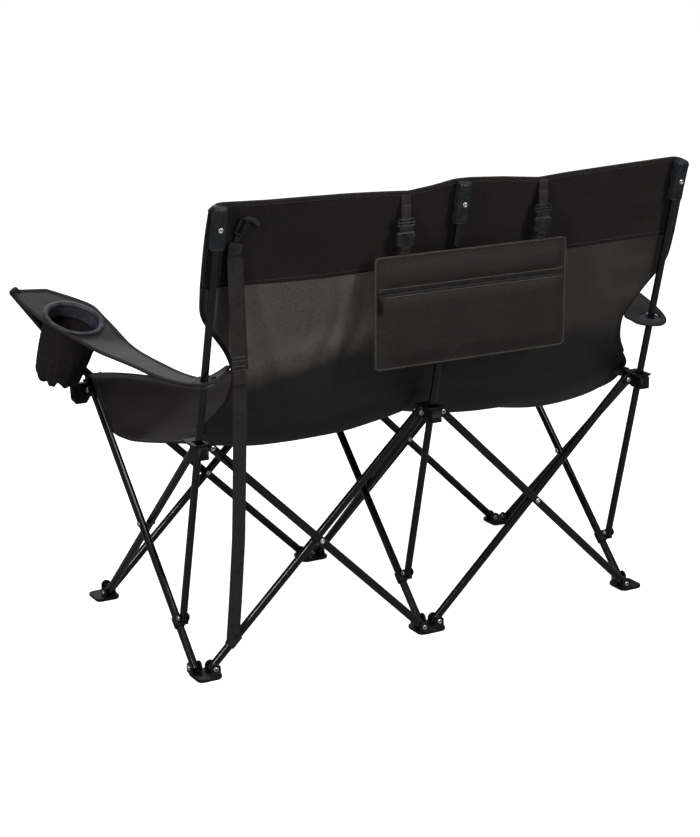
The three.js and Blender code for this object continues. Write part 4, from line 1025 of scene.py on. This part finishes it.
def backWrinkle(point):
    # Slack cloth moves only forward, away from the posts: soft waves, pleats, one long fold, then tugs
    x, z, across = point[0], point[2], abs(point[0])
    top = clamped((0.905 - z) / 0.1)
    soft, fine = cloudAt(x * 7, z * 4, 3.1), cloudAt(x * 19, z * 6, 8.7)
    push = backWrinkles["soft"] * top * (soft * 0.7 + fine * 0.3)
    near = math.exp(-((across - backWrinkles["pleatX"]) / backWrinkles["pleatSpread"]) ** 2)
    bend = across * 118 + z * 19 + 1.4 * math.sin(z * 31)
    push += backWrinkles["pleat"] * near * clamped((0.76 - z) / 0.06) * (0.5 + 0.5 * math.sin(bend)) ** 1.6
    above = (z - backWrinkles["foldZ"] + backWrinkles["foldSlope"] * across) / backWrinkles["foldWidth"]
    inBay = math.sin(math.pi * min(1.0, across / sizes["bay"]))
    push += backWrinkles["fold"] * inBay * clamped(above * 0.5 + 0.3) * math.exp(-max(0.0, above) * 0.45)
    tug = math.sin((z - 0.55) * 95 + x * 5) * 0.5 + 0.5
    push += backWrinkles["tug"] * tug * max(0.0, 1 - abs(across - 0.44) / 0.06) * top
    edge = max(0.2, min(1.0, (0.52 - across) / 0.05))
    return np.array((0, -push * edge * eased(clamped((z - 0.5) / 0.05)), 0))


def seatWrinkle(point):
    x, y, z = point
    inside = clamped((0.48 - abs(x)) / 0.04) * clamped((0.5 - z) / 0.05) * clamped((y + 0.21) / 0.05)
    sag = 0.0026 * cloudAt(x * 6, y * 9, 1.3) + 0.0016 * cloudAt(x * 17, y * 21, 4.3)
    return np.array((0, 0, -inside * sag))


def slingGrid(rows, wrinkle):
    grid = []
    for row in catmull(rows, sling["between"]):
        line = []
        for j in range(sling["columns"] + 1):
            point = slingPoint(row, 2 * j / sling["columns"] - 1)
            if wrinkle is backWrinkle:
                point = shapedBack(point)
            point[0] -= rightSpread(*point)
            line.append(placed(*(point + wrinkle(point))))
        grid.append(line)
    return np.array(grid)


def insetLine(grid, side, inset):
    # Points that lie inset from one side of a grid, with its normals there
    normal = normalsOf(grid)
    if side in ("start", "end"):
        grid, normal = np.swapaxes(grid, 0, 1), np.swapaxes(normal, 0, 1)
    if side in ("end", "last"):
        grid, normal = grid[:, ::-1], normal[:, ::-1]
    pairs = [(pointsAt([inset], lengthsAlong(line), line)[0], pointsAt([inset], lengthsAlong(line), out)[0])
             for line, out in zip(grid, normal)]
    return np.array([point for point, _ in pairs]), np.array([out for _, out in pairs])


def flatOf(grid):
    # Flat width, length and area of a grid of cloth
    grid = np.array(grid)
    width = np.linalg.norm(np.diff(grid, axis=1), axis=2).sum(axis=1).max()
    length = np.linalg.norm(np.diff(grid, axis=0), axis=2).sum(axis=0).max()
    down, across = np.diff(grid, axis=0)[:, :-1], np.diff(grid, axis=1)[:-1]
    return (float(width), float(length)), float(np.linalg.norm(np.cross(down, across), axis=2).sum())


def clothPanel(name, node, rows, finish, sides, wrinkle, tabs=()):
    grid = slingGrid(rows, wrinkle)
    panel = sheetPiece(name, grid, sling["thickness"], finish)
    trims = list(tabs)
    for side, halfWidth in sides.items():
        points, facings = insetLine(grid, side, halfWidth * 0.8)
        outline = ovalOutline(halfWidth, sling["bindingHeight"], 14, 3)
        trims.append(sweep(f"{name}_{side}_binding", points, outline, "binding", facings))
        points, facings = insetLine(grid, side, halfWidth * 1.45)
        trims.append(stitchesOn(f"{name}_{side}_stitches", points, facings, sling["bindingHeight"] * 0.86))
    settle(node, [panel] + trims)
    return grid


cornerTabs = {
    "rear": {"route": ((0.446, 0.165, 0.450), (0.458, 0.186, 0.458), (0.470, 0.205, 0.457),
                       (0.484, 0.221, 0.4545)), "half": 0.0145, "facing": (0.2, 0.75, 0.6)},
    "front": {"route": ((0.462, -0.249, 0.463), (0.474, -0.252, 0.458), (0.486, -0.256, 0.452),
                        (0.498, -0.262, 0.447)), "half": 0.013, "facing": (0.1, 1, 0.2)},
    "thickness": 0.0022,
}


def cornerTab(row, side, way):
    # Doubled webbing sewn to the seat's corner and riveted to the hub
    tab = cornerTabs[row]
    path = evenly([placed(way * x, y, z) for x, y, z in tab["route"]], 0.003)
    outline = ovalOutline(tab["half"], cornerTabs["thickness"] / 2, 14, 5)
    return sweep(f"seat_{row}_{side}_corner_tab", path, outline, "webbing", mirrorX(tab["facing"], way))


def mirrorX(point, way):
    return (way * point[0], point[1], point[2])


def makeSling():
    edges = {"first": sling["binding"], "last": sling["binding"]}
    tabs = {row: [cornerTab(row, side, way) for side, way in hands.items()] for row in ("front", "rear")}
    for row, rows, finish, sides in (("front", seatFrontRows, "woven", {"start": sling["binding"], **edges}),
                                     ("rear", seatRearRows, "satin", edges)):
        clothPanel(f"seat_{row}_cloth", f"seat_{row}_panel", rows, finish, sides,
                   seatWrinkle, tabs[row])
    clothPanel("back_lower_cloth", "back_panel", backLowRows, "satin", edges, backWrinkle)
    grid = clothPanel("back_upper_cloth", "back_panel", backTopRows, "woven",
                      {"end": sling["hem"], **edges}, backWrinkle)
    points, facings = insetLine(grid, "start", 0.001)
    tape = sweep("back_seam_tape", points, ovalOutline(sling["seamHalf"], 0.0013, 12, 3), "woven", facings)
    stitches = stitchesOn("back_seam_stitches", *insetLine(grid, "start", 0.0042), 0.0012, "darkThread")
    settle("back_panel", [tape, stitches])


makeSling()
print("sling made")

# Armrests: cloth round an eyelet on the post, forward to the arm tube's tip, with a cup ring and pouch
armOuter = [
    (444, 292, 604), (466, 307, 592), (496, 310, 582), (515, 286, 577), (521, 235, 570), (529, 157, 565),
    (535, 78, 566), (546, 20, 569), (560, -30, 574), (580, -75, 587), (606, -110, 604), (628, -145, 620.6),
]
armInner = [
    (440, 270, 598), (451, 262, 588), (463, 255, 580), (469, 246, 574), (471, 225, 569), (477, 157, 565),
    (481, 78, 566), (481, 20, 566), (480, -30, 567), (481, -75, 573.3), (487, -120, 591.8), (494, -160, 608.6),
    (502, -195, 623.5), (535, -222, 638.6), (577, -247, 654.1),
]
# The left armrest's front corner reaches out over the tube; the right one runs straighter from post to tip
leftOuterEnd = [(643, -185, 638.5), (650, -216, 651.5), (645, -244, 661)]
rightOuterEnd = [(636, -185, 637.6), (635, -215, 650), (626, -243, 660.5)]
rightOuterStart = [
    (446, 296, 577), (466, 309, 573), (497, 312, 571.5), (518, 292, 578), (524, 240, 597), (531, 160, 613),
    (537, 80, 614), (546, 20, 609), (560, -30, 605), (580, -75, 606),
]
rightInnerStart = [
    (441, 272, 583), (443, 261, 584), (449, 251, 586), (458, 241, 589), (469, 225, 595), (478, 157, 606),
    (482, 78, 606), (481, 20, 600), (480, -30, 594), (481, -75, 591), (487, -120, 597),
]
arm = {
    "thickness": 0.003, "columns": 20, "between": 7, "binding": 0.0045, "bindingHeight": 0.0028,
    "keep": 0.508, "axis": (0.26769, -0.95366, 0.13737), "anchor": (0.48998, 0.28103, 0.578),
    "eyeletRadius": 0.0209, "ringHole": 0.0532, "eyeletHeight": 0.578,
}
ring = {
    "centre": (0.560, -0.150, 0.6135), "normal": (-0.1238, 0.3648, 0.9232), "hole": 0.0494, "sleeve": 0.052,
    "flange": 0.060, "seat": 0.0023, "depth": 0.026, "grooves": 5,
}
pouch = {"radius": 0.0555, "top": -0.0032, "depth": 0.122, "foot": 0.046, "hang": 0.13, "wall": 0.0014,
         "taper": 0.2, "lean": 0.1, "around": 120, "down": 46}


def armGrid(way):
    outside, inside = armOuter + leftOuterEnd, armInner
    if way < 0:
        outside = rightOuterStart + armOuter[len(rightOuterStart):] + rightOuterEnd
        inside = rightInnerStart + armInner[len(rightInnerStart):]
    rows = [np.array((*outer, *inner)) / 1000 for outer, inner in zip(outside, inside)]
    rows = catmull(rows, arm["between"])
    return np.array([[placed(*mirrorX(row[:3] + (row[3:] - row[:3]) * j / arm["columns"], way))
                      for j in range(arm["columns"] + 1)] for row in rows])


def punched(piece, axis, centre, radius):
    # Cuts a round hole of that radius through the piece
    bpy.ops.mesh.primitive_cylinder_add(vertices=72, radius=radius, depth=0.05)
    tool = bpy.context.object
    tool.data.transform(turnTo(axis, centre))
    modifier = piece.modifiers.new("hole", "BOOLEAN")
    modifier.object = tool
    modifier.solver = "EXACT"
    piece.data = evaluatedMesh(piece)
    piece.modifiers.clear()
    bpy.data.objects.remove(tool)


def circlePath(axis, centre, radius, count=72):
    place, turn = turnTo(axis, centre), 2 * math.pi / count
    return [place @ Vector((radius * math.cos(turn * k), radius * math.sin(turn * k), 0))
            for k in range(count)]


def makeEyelet(side, centre):
    node = f"{side}_arm_eyelet"
    hole, rim = 0.0075, arm["eyeletRadius"] - 0.0002
    profile = [(hole, -0.0012), (hole + 0.0006, -0.0023), (rim - 0.003, -0.0025), (rim - 0.0008, -0.002),
               (rim, -0.001), (rim, 0.001), (rim - 0.0008, 0.002), (rim - 0.003, 0.0025),
               (rim - 0.006, 0.0019),
               (hole + 0.0035, 0.0017), (hole + 0.001, 0.0024), (hole, 0.0014)]
    standFor(node, lathePiece(node + "_moulded", profile, 56, "ringNylon", turnTo(postWay, centre)))


def makeArm(side, way):
    centre, axis = placed(*mirrorX(ring["centre"], way)), mirrorX(ring["normal"], way)
    eyeletAt = placed(*postAt(side, arm["eyeletHeight"]))
    makeEyelet(side, eyeletAt)
    grid = armGrid(way)
    panel = sheetPiece(f"{side}_arm_cloth", grid, arm["thickness"], "armSatin")
    punched(panel, axis, centre, arm["ringHole"])
    punched(panel, postWay, eyeletAt, arm["eyeletRadius"])
    panel.data.materials.clear()
    panel.data.materials.append(finishes["armSatin"])
    edge, facing = [], []
    for name, step in (("first", 1), ("end", 1), ("last", -1), ("start", -1)):
        points, facings = insetLine(grid, name, arm["binding"] * 0.7)
        edge += list(points[::step][1:-1])
        facing += list(facings[::step][1:-1])
    outline = ovalOutline(arm["binding"], arm["bindingHeight"], 14, 3)
    trims = [sweep(f"{side}_arm_binding", edge, outline, "binding", facing, closed=True)]
    for name in ("first", "last", "end"):
        points, facings = insetLine(grid, name, arm["binding"] * 1.3)
        trims.append(stitchesOn(f"{side}_arm_{name}_stitches", points[2:-2], facings[2:-2],
                                arm["bindingHeight"] * 0.9))
    stitches = np.array(circlePath(postWay, eyeletAt, arm["eyeletRadius"] + 0.005))
    trims.append(stitchesOn(f"{side}_arm_eyelet_stitches", stitches, np.array([postWay] * len(stitches)),
                            arm["thickness"] * 0.55))
    settle(f"{side}_arm_panel", [panel] + trims)
    makeCup(side, way, centre, axis)


def makeCup(side, way, centre, axis):
    hole, sleeve, flange, seat = ring["hole"], ring["sleeve"], ring["flange"], ring["seat"]
    profile = [(sleeve, -ring["depth"]), (sleeve, seat - 0.0008), (sleeve + 0.0015, seat),
               (flange - 0.0006, seat), (flange, seat + 0.0006), (flange - 0.0004, seat + 0.0014),
               (flange - 0.0015, seat + 0.002),
               (hole + 0.0034, seat + 0.0024), (hole + 0.0022, seat + 0.002), (hole + 0.0018, seat - 0.0002),
               (hole + 0.0004, seat - 0.0006), (hole, seat - 0.0012)]
    for k in range(ring["grooves"]):
        height = -0.003 - k * 0.0044
        profile += [(hole, height), (hole + 0.0009, height - 0.0009), (hole + 0.0009, height - 0.002),
                    (hole, height - 0.0029)]
    profile.append((hole, -ring["depth"]))
    rim = lathePiece(f"{side}_cup_rim", profile, 96, "ringNylon", turnTo(axis, centre))
    standFor(f"{side}_cup_ring", rim)
    piece, area = makePouch(f"{side}_cup_bag", centre, axis, way)
    standFor(f"{side}_cup_pouch", piece)


def pouchPoint(angle, s, inset, way):
    # A point s down the bag's wall, or under the bag where s is past the wall
    radius, depth = pouch["radius"], pouch["depth"]
    side = depth * 0.86
    c, d = math.cos(angle), math.sin(angle)
    crease = noise.noise(Vector((c * 2.1, d * 2.1, s * 16 + way)))
    gather, lobe = math.sin(angle * 17 + crease * 5), abs(math.sin(angle * 4.5 + 0.6))
    uneven = 0.004 * crease - 0.0016 * abs(gather) + 0.003 * lobe
    if s < side:
        r = radius * (1 - pouch["taper"] * (s / side) ** 2) + uneven * eased(s / side) - inset
        h = -s
    else:
        t = (s - side) / (pouch["foot"] + depth * 0.12)
        full = radius * (1 - pouch["taper"]) * max(0.0, math.cos(t * math.pi / 2)) ** 0.8
        r = full + (uneven - inset) * (1 - t)
        h = -side - (depth - side) * math.sin(t * math.pi / 2) + inset * t
        arch = max(0.0, math.sin(math.pi * t))
        h += 0.005 * crease * (1 - abs(2 * t - 1)) + 0.0022 * gather * arch - 0.012 * lobe * arch ** 0.7
    r = max(0.0, r)
    return Vector((r * c, r * d, h + pouch["top"]))


def makePouch(name, centre, axis, way):
    around, rows = pouch["around"], pouch["down"] + 1
    whole = pouch["depth"] * (0.86 + 0.12) + pouch["foot"]
    place, lift = turnTo(axis, centre), -Vector(axis).normalized()
    points, uvs = [], []
    for inset in (0.0, pouch["wall"]):
        for i in range(rows):
            for k in range(around):
                s = whole * i / pouch["down"]
                local = place @ pouchPoint(2 * math.pi * k / around, s, inset, way)
                below = max(0.0, (local - centre).dot(lift) - ring["depth"])
                points.append(local + Vector((way * pouch["lean"], pouch["hang"], 0)) * below)
                uvs.append((2 * math.pi * pouch["radius"] * k / around, s))
    count = rows * around
    faces = quads(rows, around, ring=True) + [face[::-1] for face in quads(rows, around, count, ring=True)]
    faces += [(b, a, count + a, count + b) for a, b in ((k, (k + 1) % around) for k in range(around))]
    mesh = meshFrom(name, points, faces, uvs)
    weld(mesh, 2e-5)
    grid = [points[i * around:(i + 1) * around] + [points[i * around]] for i in range(rows)]
    return outwards(newPiece(name, mesh, "woven")), flatOf(grid)[1]


for side, way in hands.items():
    makeArm(side, way)
print("armrests made")

# Zip pocket behind the back
pocket = {
    "left": 0.175, "right": -0.238, "bottom": 0.570, "top": 0.777, "thickness": 0.007, "behindPost": 0.0005,
    "zipLine": 0.712, "piping": 0.0022, "anchorX": 0.168, "teeth": 0.003, "welt": 0.0065, "slack": 0.0036,
    "keep": 0.295, "columns": 140, "rows": 76, "corner": 0.008, "inset": 0.0005, "sliderX": 0.168,
}
pocket["front"] = postAt("centre", pocket["top"]).y + sizes["postRadius"] / math.cos(lean)
pocket["front"] += pocket["behindPost"]
pocket["back"] = pocket["front"] + pocket["thickness"]
rearwards = (0.0, 1.0, 0.0)


def pocketFace(x, z):
    # How far the rear face lies from the front one: thin at the piped edges, slack and creased between
    u = min(x - pocket["right"], pocket["left"] - x) / 0.03
    v = min(z - pocket["bottom"], pocket["top"] - z) / 0.03
    crease, fine = cloudAt(x * 11 + z * 9, z * 8, 5.2), cloudAt(x * 28, z * 16 + x * 9, 2.4)
    creased = 0.0048 * (0.35 + 0.45 * crease + 0.2 * fine)
    flat = 1 - math.exp(-((z - pocket["zipLine"]) / 0.014) ** 2)
    end = pocket["bottom"] if z < pocket["zipLine"] else pocket["top"]
    slack = (z - end) / (pocket["zipLine"] - end)
    return 0.0042 + eased(clamped(u)) * eased(clamped(v)) * flat * (creased + pocket["slack"] * slack)


def makePocket():
    across, down = pocket["columns"], pocket["rows"]
    flat = [(pocket["right"] + (pocket["left"] - pocket["right"]) * j / across,
             pocket["bottom"] + (pocket["top"] - pocket["bottom"]) * i / down)
            for i in range(down + 1) for j in range(across + 1)]
    points = [placed(x, pocket["front"] + 0.0012, z) for x, z in flat]
    points += [placed(x, pocket["front"] + pocketFace(x, z), z) for x, z in flat]
    faces = quads(down + 1, across + 1) + quads(down + 1, across + 1, len(flat))
    faces += rimFaces(down + 1, across + 1)
    mesh = meshFrom("zip_pocket_cloth", points, faces, flat + flat)
    bag = outwards(newPiece("zip_pocket_cloth", mesh, "pocket"))
    trims = [pocketPiping(), *pocketZip()]
    settle("zip_pocket", [bag] + trims)


def pocketPiping():
    corner, inset = pocket["corner"], pocket["inset"]
    left, right = pocket["left"] - inset - corner, pocket["right"] + inset + corner
    bottom, top = pocket["bottom"] + inset + corner, pocket["top"] - inset - corner
    path = []
    for cx, cz, start in ((left, top, 0), (right, top, 90), (right, bottom, 180), (left, bottom, 270)):
        for k in range(7):
            angle = math.radians(start + 15 * k)
            path.append((cx + corner * math.cos(angle), cz + corner * math.sin(angle)))
    edge = []
    for (ax, az), (bx, bz) in zip(path, path[1:] + path[:1]):
        steps = max(1, int(math.hypot(bx - ax, bz - az) / 0.006))
        edge += [placed(ax + (bx - ax) * k / steps, pocket["front"] + 0.003, az + (bz - az) * k / steps)
                 for k in range(steps)]
    outline = ovalOutline(pocket["piping"], pocket["piping"], 10)
    return sweep("zip_pocket_piping", edge, outline, "piping", rearwards, closed=True)


def pocketZip():
    line, welt, made = pocket["zipLine"], pocket["welt"], []
    xs = np.linspace(pocket["right"] + 0.006, pocket["left"] - 0.006, 90)

    def along(z, lift):
        return np.array([placed(x, pocket["front"] + pocketFace(x, z) + lift, z) for x in xs])

    for k, way in enumerate((1, -1)):
        z = line + way * welt * 0.8
        outline = ovalOutline(welt * 0.6, 0.0011, 12, 2.6)
        made.append(sweep(f"zip_welt_{k}", along(z, 0.0003), outline, "pocket", rearwards))
        made.append(stitchesOn(f"zip_welt_stitches_{k}", along(z + way * 0.0026, 0.0008),
                               np.array([rearwards] * len(xs)), 0.0003, "paleThread"))
    outline = ovalOutline(0.0042, 0.0008, 10, 3)
    made.append(sweep("zip_tape", along(line, -0.0001), outline, "binding", rearwards))
    tooth = boxPiece((-0.0008, -0.0021, -0.0005), (0.0008, 0.0021, 0.0011), 0.0003)
    spots = [(placed(x, pocket["front"] + pocketFace(x, line) + 0.0006, line), rearwards, (1, 0, 0))
             for x in np.arange(pocket["right"] + 0.008, pocket["left"] - 0.008, pocket["teeth"] * 0.85)]
    made.append(copiesOn("zip_teeth", spots, tooth, "buckleNylon"))
    bpy.data.objects.remove(tooth)
    return made


def makeSlider():
    place = Matrix.Translation(placed(pocket["sliderX"], pocket["back"], pocket["zipLine"]))
    body = [((-0.0036, -0.002, -0.0052), (0.0036, 0.0022, 0.0052), 0.0012),
            ((-0.0011, 0.002, -0.0030), (0.0011, 0.0036, 0.0030), 0.0005),
            ((-0.0024, 0.0016, -0.0125), (0.0024, 0.0030, -0.0028), 0.0008)]
    pull = [((-0.0027, 0.0020, -0.0380), (0.0027, 0.0036, -0.0110), 0.0010)]
    standFor("zip_slider", boxes("zip_slider_metal", body, "buckleNylon", place),
             boxes("zip_slider_pull", pull, "zipMetal", place))


makePocket()
makeSlider()
print("pocket made")

# Straps that carry the pocket, each with a side-release buckle
hanger = {
    "left": 0.114, "right": -0.182, "halfWidth": 0.0095, "thickness": 0.0018, "topZ": 0.892,
    "topLift": 0.0008, "buckleLow": 0.794, "buckleHigh": 0.846, "buckleAt": 0.82, "buckleHalf": 0.018,
}


def hangerAt(z):
    topY = onPost(hanger["topZ"] * 1000) / 1000 + hanger["topLift"]
    lowY = pocket["front"] + pocket["thickness"] / 2
    return topY + (lowY - topY) * (hanger["topZ"] - z) / (hanger["topZ"] - pocket["top"])


def flatBand(name, points, halfWidth, thickness, facing=rearwards):
    return sweep(name, points, ovalOutline(halfWidth, thickness / 2, 16, 5), "webbing", facing)


def makeHanger(side):
    node, x, wide, thick = f"{side}_pocket_strap", hanger[side], hanger["halfWidth"], hanger["thickness"]
    heights = np.linspace(pocket["top"] - 0.006, hanger["topZ"], 24)
    band = [placed(x, hangerAt(z), z) for z in heights]
    spare = [placed(x, hangerAt(z) + 0.0028, z) for z in heights[3:20]]
    band = flatBand(node + "_webbing", band, wide, thick, (0, 1, 0.2))
    spare = flatBand(node + "_spare", spare, wide * 0.98, thick, (0, 1, 0.2))
    run = hanger["buckleHigh"] - hanger["buckleLow"]
    slope = (hangerAt(hanger["buckleLow"]) - hangerAt(hanger["buckleHigh"])) / run
    middle = placed(x, hangerAt(hanger["buckleAt"]) + 0.0006, hanger["buckleAt"])
    turn = Matrix.Translation(middle) @ Matrix.Rotation(math.atan(slope), 4, "X")
    half = hanger["buckleHalf"]
    shapes = [
        ((-half, -0.0045, -0.026), (half, 0.0042, 0.002), 0.0028),
        ((-half * 0.74, -0.0036, 0.001), (half * 0.74, 0.0036, 0.012), 0.0016),
        ((-half, -0.004, 0.0105), (half, 0.0038, 0.0145), 0.0014),
        ((-half, -0.004, 0.0145), (-half + 0.005, 0.0036, 0.026), 0.0014),
        ((half - 0.005, -0.004, 0.0145), (half, 0.0036, 0.026), 0.0014),
        ((-half, -0.0036, 0.0222), (half, 0.0036, 0.026), 0.0014),
        ((-half, -0.003, 0.0168), (half, 0.0046, 0.0196), 0.0009),
        ((-half * 0.98, -0.0022, -0.012), (-half * 0.62, 0.0052, -0.001), 0.0012),
        ((half * 0.62, -0.0022, -0.012), (half * 0.98, 0.0052, -0.001), 0.0012),
        ((-half * 0.3, 0.001, -0.021), (half * 0.3, 0.0052, 0.0), 0.0014),
    ]
    buckle = boxes(node + "_buckle", shapes, "buckleNylon", turn)
    standFor(node, band, spare, buckle)


for side in hands:
    makeHanger(side)

# Closure strap from the back's upper left corner down to the left rear tube; its route is heights with x
strap = {
    "route": ((0.832, 0.4473), (0.82, 0.4505), (0.799, 0.45), (0.73, 0.4455), (0.656, 0.4397), (0.596, 0.4351),
              (0.486, 0.4307), (0.27, 0.4248), (0.148, 0.4255), (0.065, 0.427)),
    "halfWidth": 0.0138, "thickness": 0.0018, "bulge": 0.006, "endX": 0.421, "loopRadius": 0.0095,
    "bars": (0.624, 0.617, 0.607, 0.5985), "barStitch": 0.0019, "behind": 0.0062, "patch": (0.596, 0.57),
    "buckle": (0.4412, 0.8619), "buckleHalf": (0.0085, 0.0022, 0.0158), "bar": 0.0032, "buckleTurn": 25,
    "neck": ((0.4442, 0.85), (0.4462, 0.84), (0.4492, 0.826)), "neckHalf": 0.0055,
    "tail": ((0.4345, 0.873), (0.4265, 0.8745), (0.4155, 0.87), (0.4055, 0.861)), "tailHalf": 0.0042,
}


def strapPoint(z, lift=0.0, aside=0.0):
    heights, across = zip(*strap["route"])
    top, low = heights[0], heights[-1]
    tubeBack = sizes["rearRow"] + sizes["frontLayer"] + sizes["crossRadius"] + 0.0013
    topY = onPost(top * 1000) / 1000 + 0.0028
    t = (top - z) / (top - low)
    x = float(np.interp(z, heights[::-1], across[::-1])) + aside
    return placed(x, topY + (tubeBack - topY) * t + strap["bulge"] * math.sin(math.pi * t) + lift, z)


def onBack(x, z, lift=0.0035):
    # A point on the rear face of the back's cloth
    return placed(x, onPost(z * 1000) / 1000 + lift, z)


def strapBuckle():
    # Slanted moulded loop with an open middle
    wide, deep, tall = strap["buckleHalf"]
    bar = strap["bar"]
    turn = Matrix.Translation(onBack(*strap["buckle"], 0.0052)) @ Matrix.Rotation(-lean, 4, "X")
    turn = turn @ Matrix.Rotation(math.radians(-strap["buckleTurn"]), 4, "Y")
    spans = [((-wide, tall - bar), (wide, tall)), ((-wide, -tall), (wide, bar - tall)),
             ((-wide, -tall), (bar - wide, tall)), ((wide - bar, -tall), (wide, tall))]
    shapes = [((x0, -deep, z0), (x1, deep, z1), 0.0012) for (x0, z0), (x1, z1) in spans]
    return boxes("closure_strap_loop", shapes, "buckleNylon", turn)


def makeStrap():
    node, half, thick = "closure_strap", strap["halfWidth"], strap["thickness"]
    top, low = strap["route"][0][0], strap["route"][-1][0]
    tubeMiddle = placed(strap["endX"], sizes["rearRow"] + sizes["frontLayer"],
                        sizes["pivot"] + (sizes["bay"] - sizes["crossInset"] - strap["endX"]) * tubeSlope)
    path = [strapPoint(z) for z in np.linspace(top - 0.004, low, 70)]
    end, last = tubeMiddle + Vector((0, sizes["crossRadius"] + 0.0014, 0)), path[-1]
    path += [last.lerp(end, k / 4) for k in range(1, 5)]
    long = flatBand(node + "_webbing", path, half, thick)
    # Layers sewn to it: from and to height, points, lift, aside, and shares of its half width and thickness
    layers = {
        "doubled": (top - 0.03, strap["bars"][-1], 30, -0.0021, -strap["behind"], 0.9, 1),
        "folded_top": (top, top - 0.022, 8, 0.0021, 0, 0.96, 1),
        "patch": (*strap["patch"], 8, 0.0017, 0, 0.94, 0.7),
    }
    extras = []
    for name, (start, stop, count, lift, aside, wideShare, thickShare) in layers.items():
        points = [strapPoint(z, lift, aside) for z in np.linspace(start, stop, count)]
        extras.append(flatBand(f"{node}_{name}", points, half * wideShare, thick * thickShare))
    for name in ("neck", "tail"):
        points = evenly([onBack(*point) for point in strap[name]], 0.002)
        extras.append(flatBand(f"{node}_{name}", points, strap[name + "Half"], thick))
    around = circlePath(Vector((-tubeRun, 0, tubeRise)).normalized(), tubeMiddle, strap["loopRadius"], 32)
    out = [(p - tubeMiddle).normalized() for p in around]
    outline = ovalOutline(half, thick / 2, 14, 5)
    extras.append(sweep(node + "_tube_loop", around, outline, "webbing", out, closed=True))
    for k, z in enumerate(strap["bars"]):
        middle, side = strapPoint(z, thick / 2 + 0.0003), Vector((half * 0.88, 0, 0))
        row = evenly([middle - side, middle + side], 0.002)
        spots = [(point, rearwards, along) for point, along in zip(row, np.gradient(row, axis=0))]
        extras.append(sewn(f"{node}_bar_{k}", spots, "thread", strap["barStitch"], strap["barStitch"]))
    extras.append(strapBuckle())
    standFor(node, long, *extras)


makeStrap()
print("straps made")
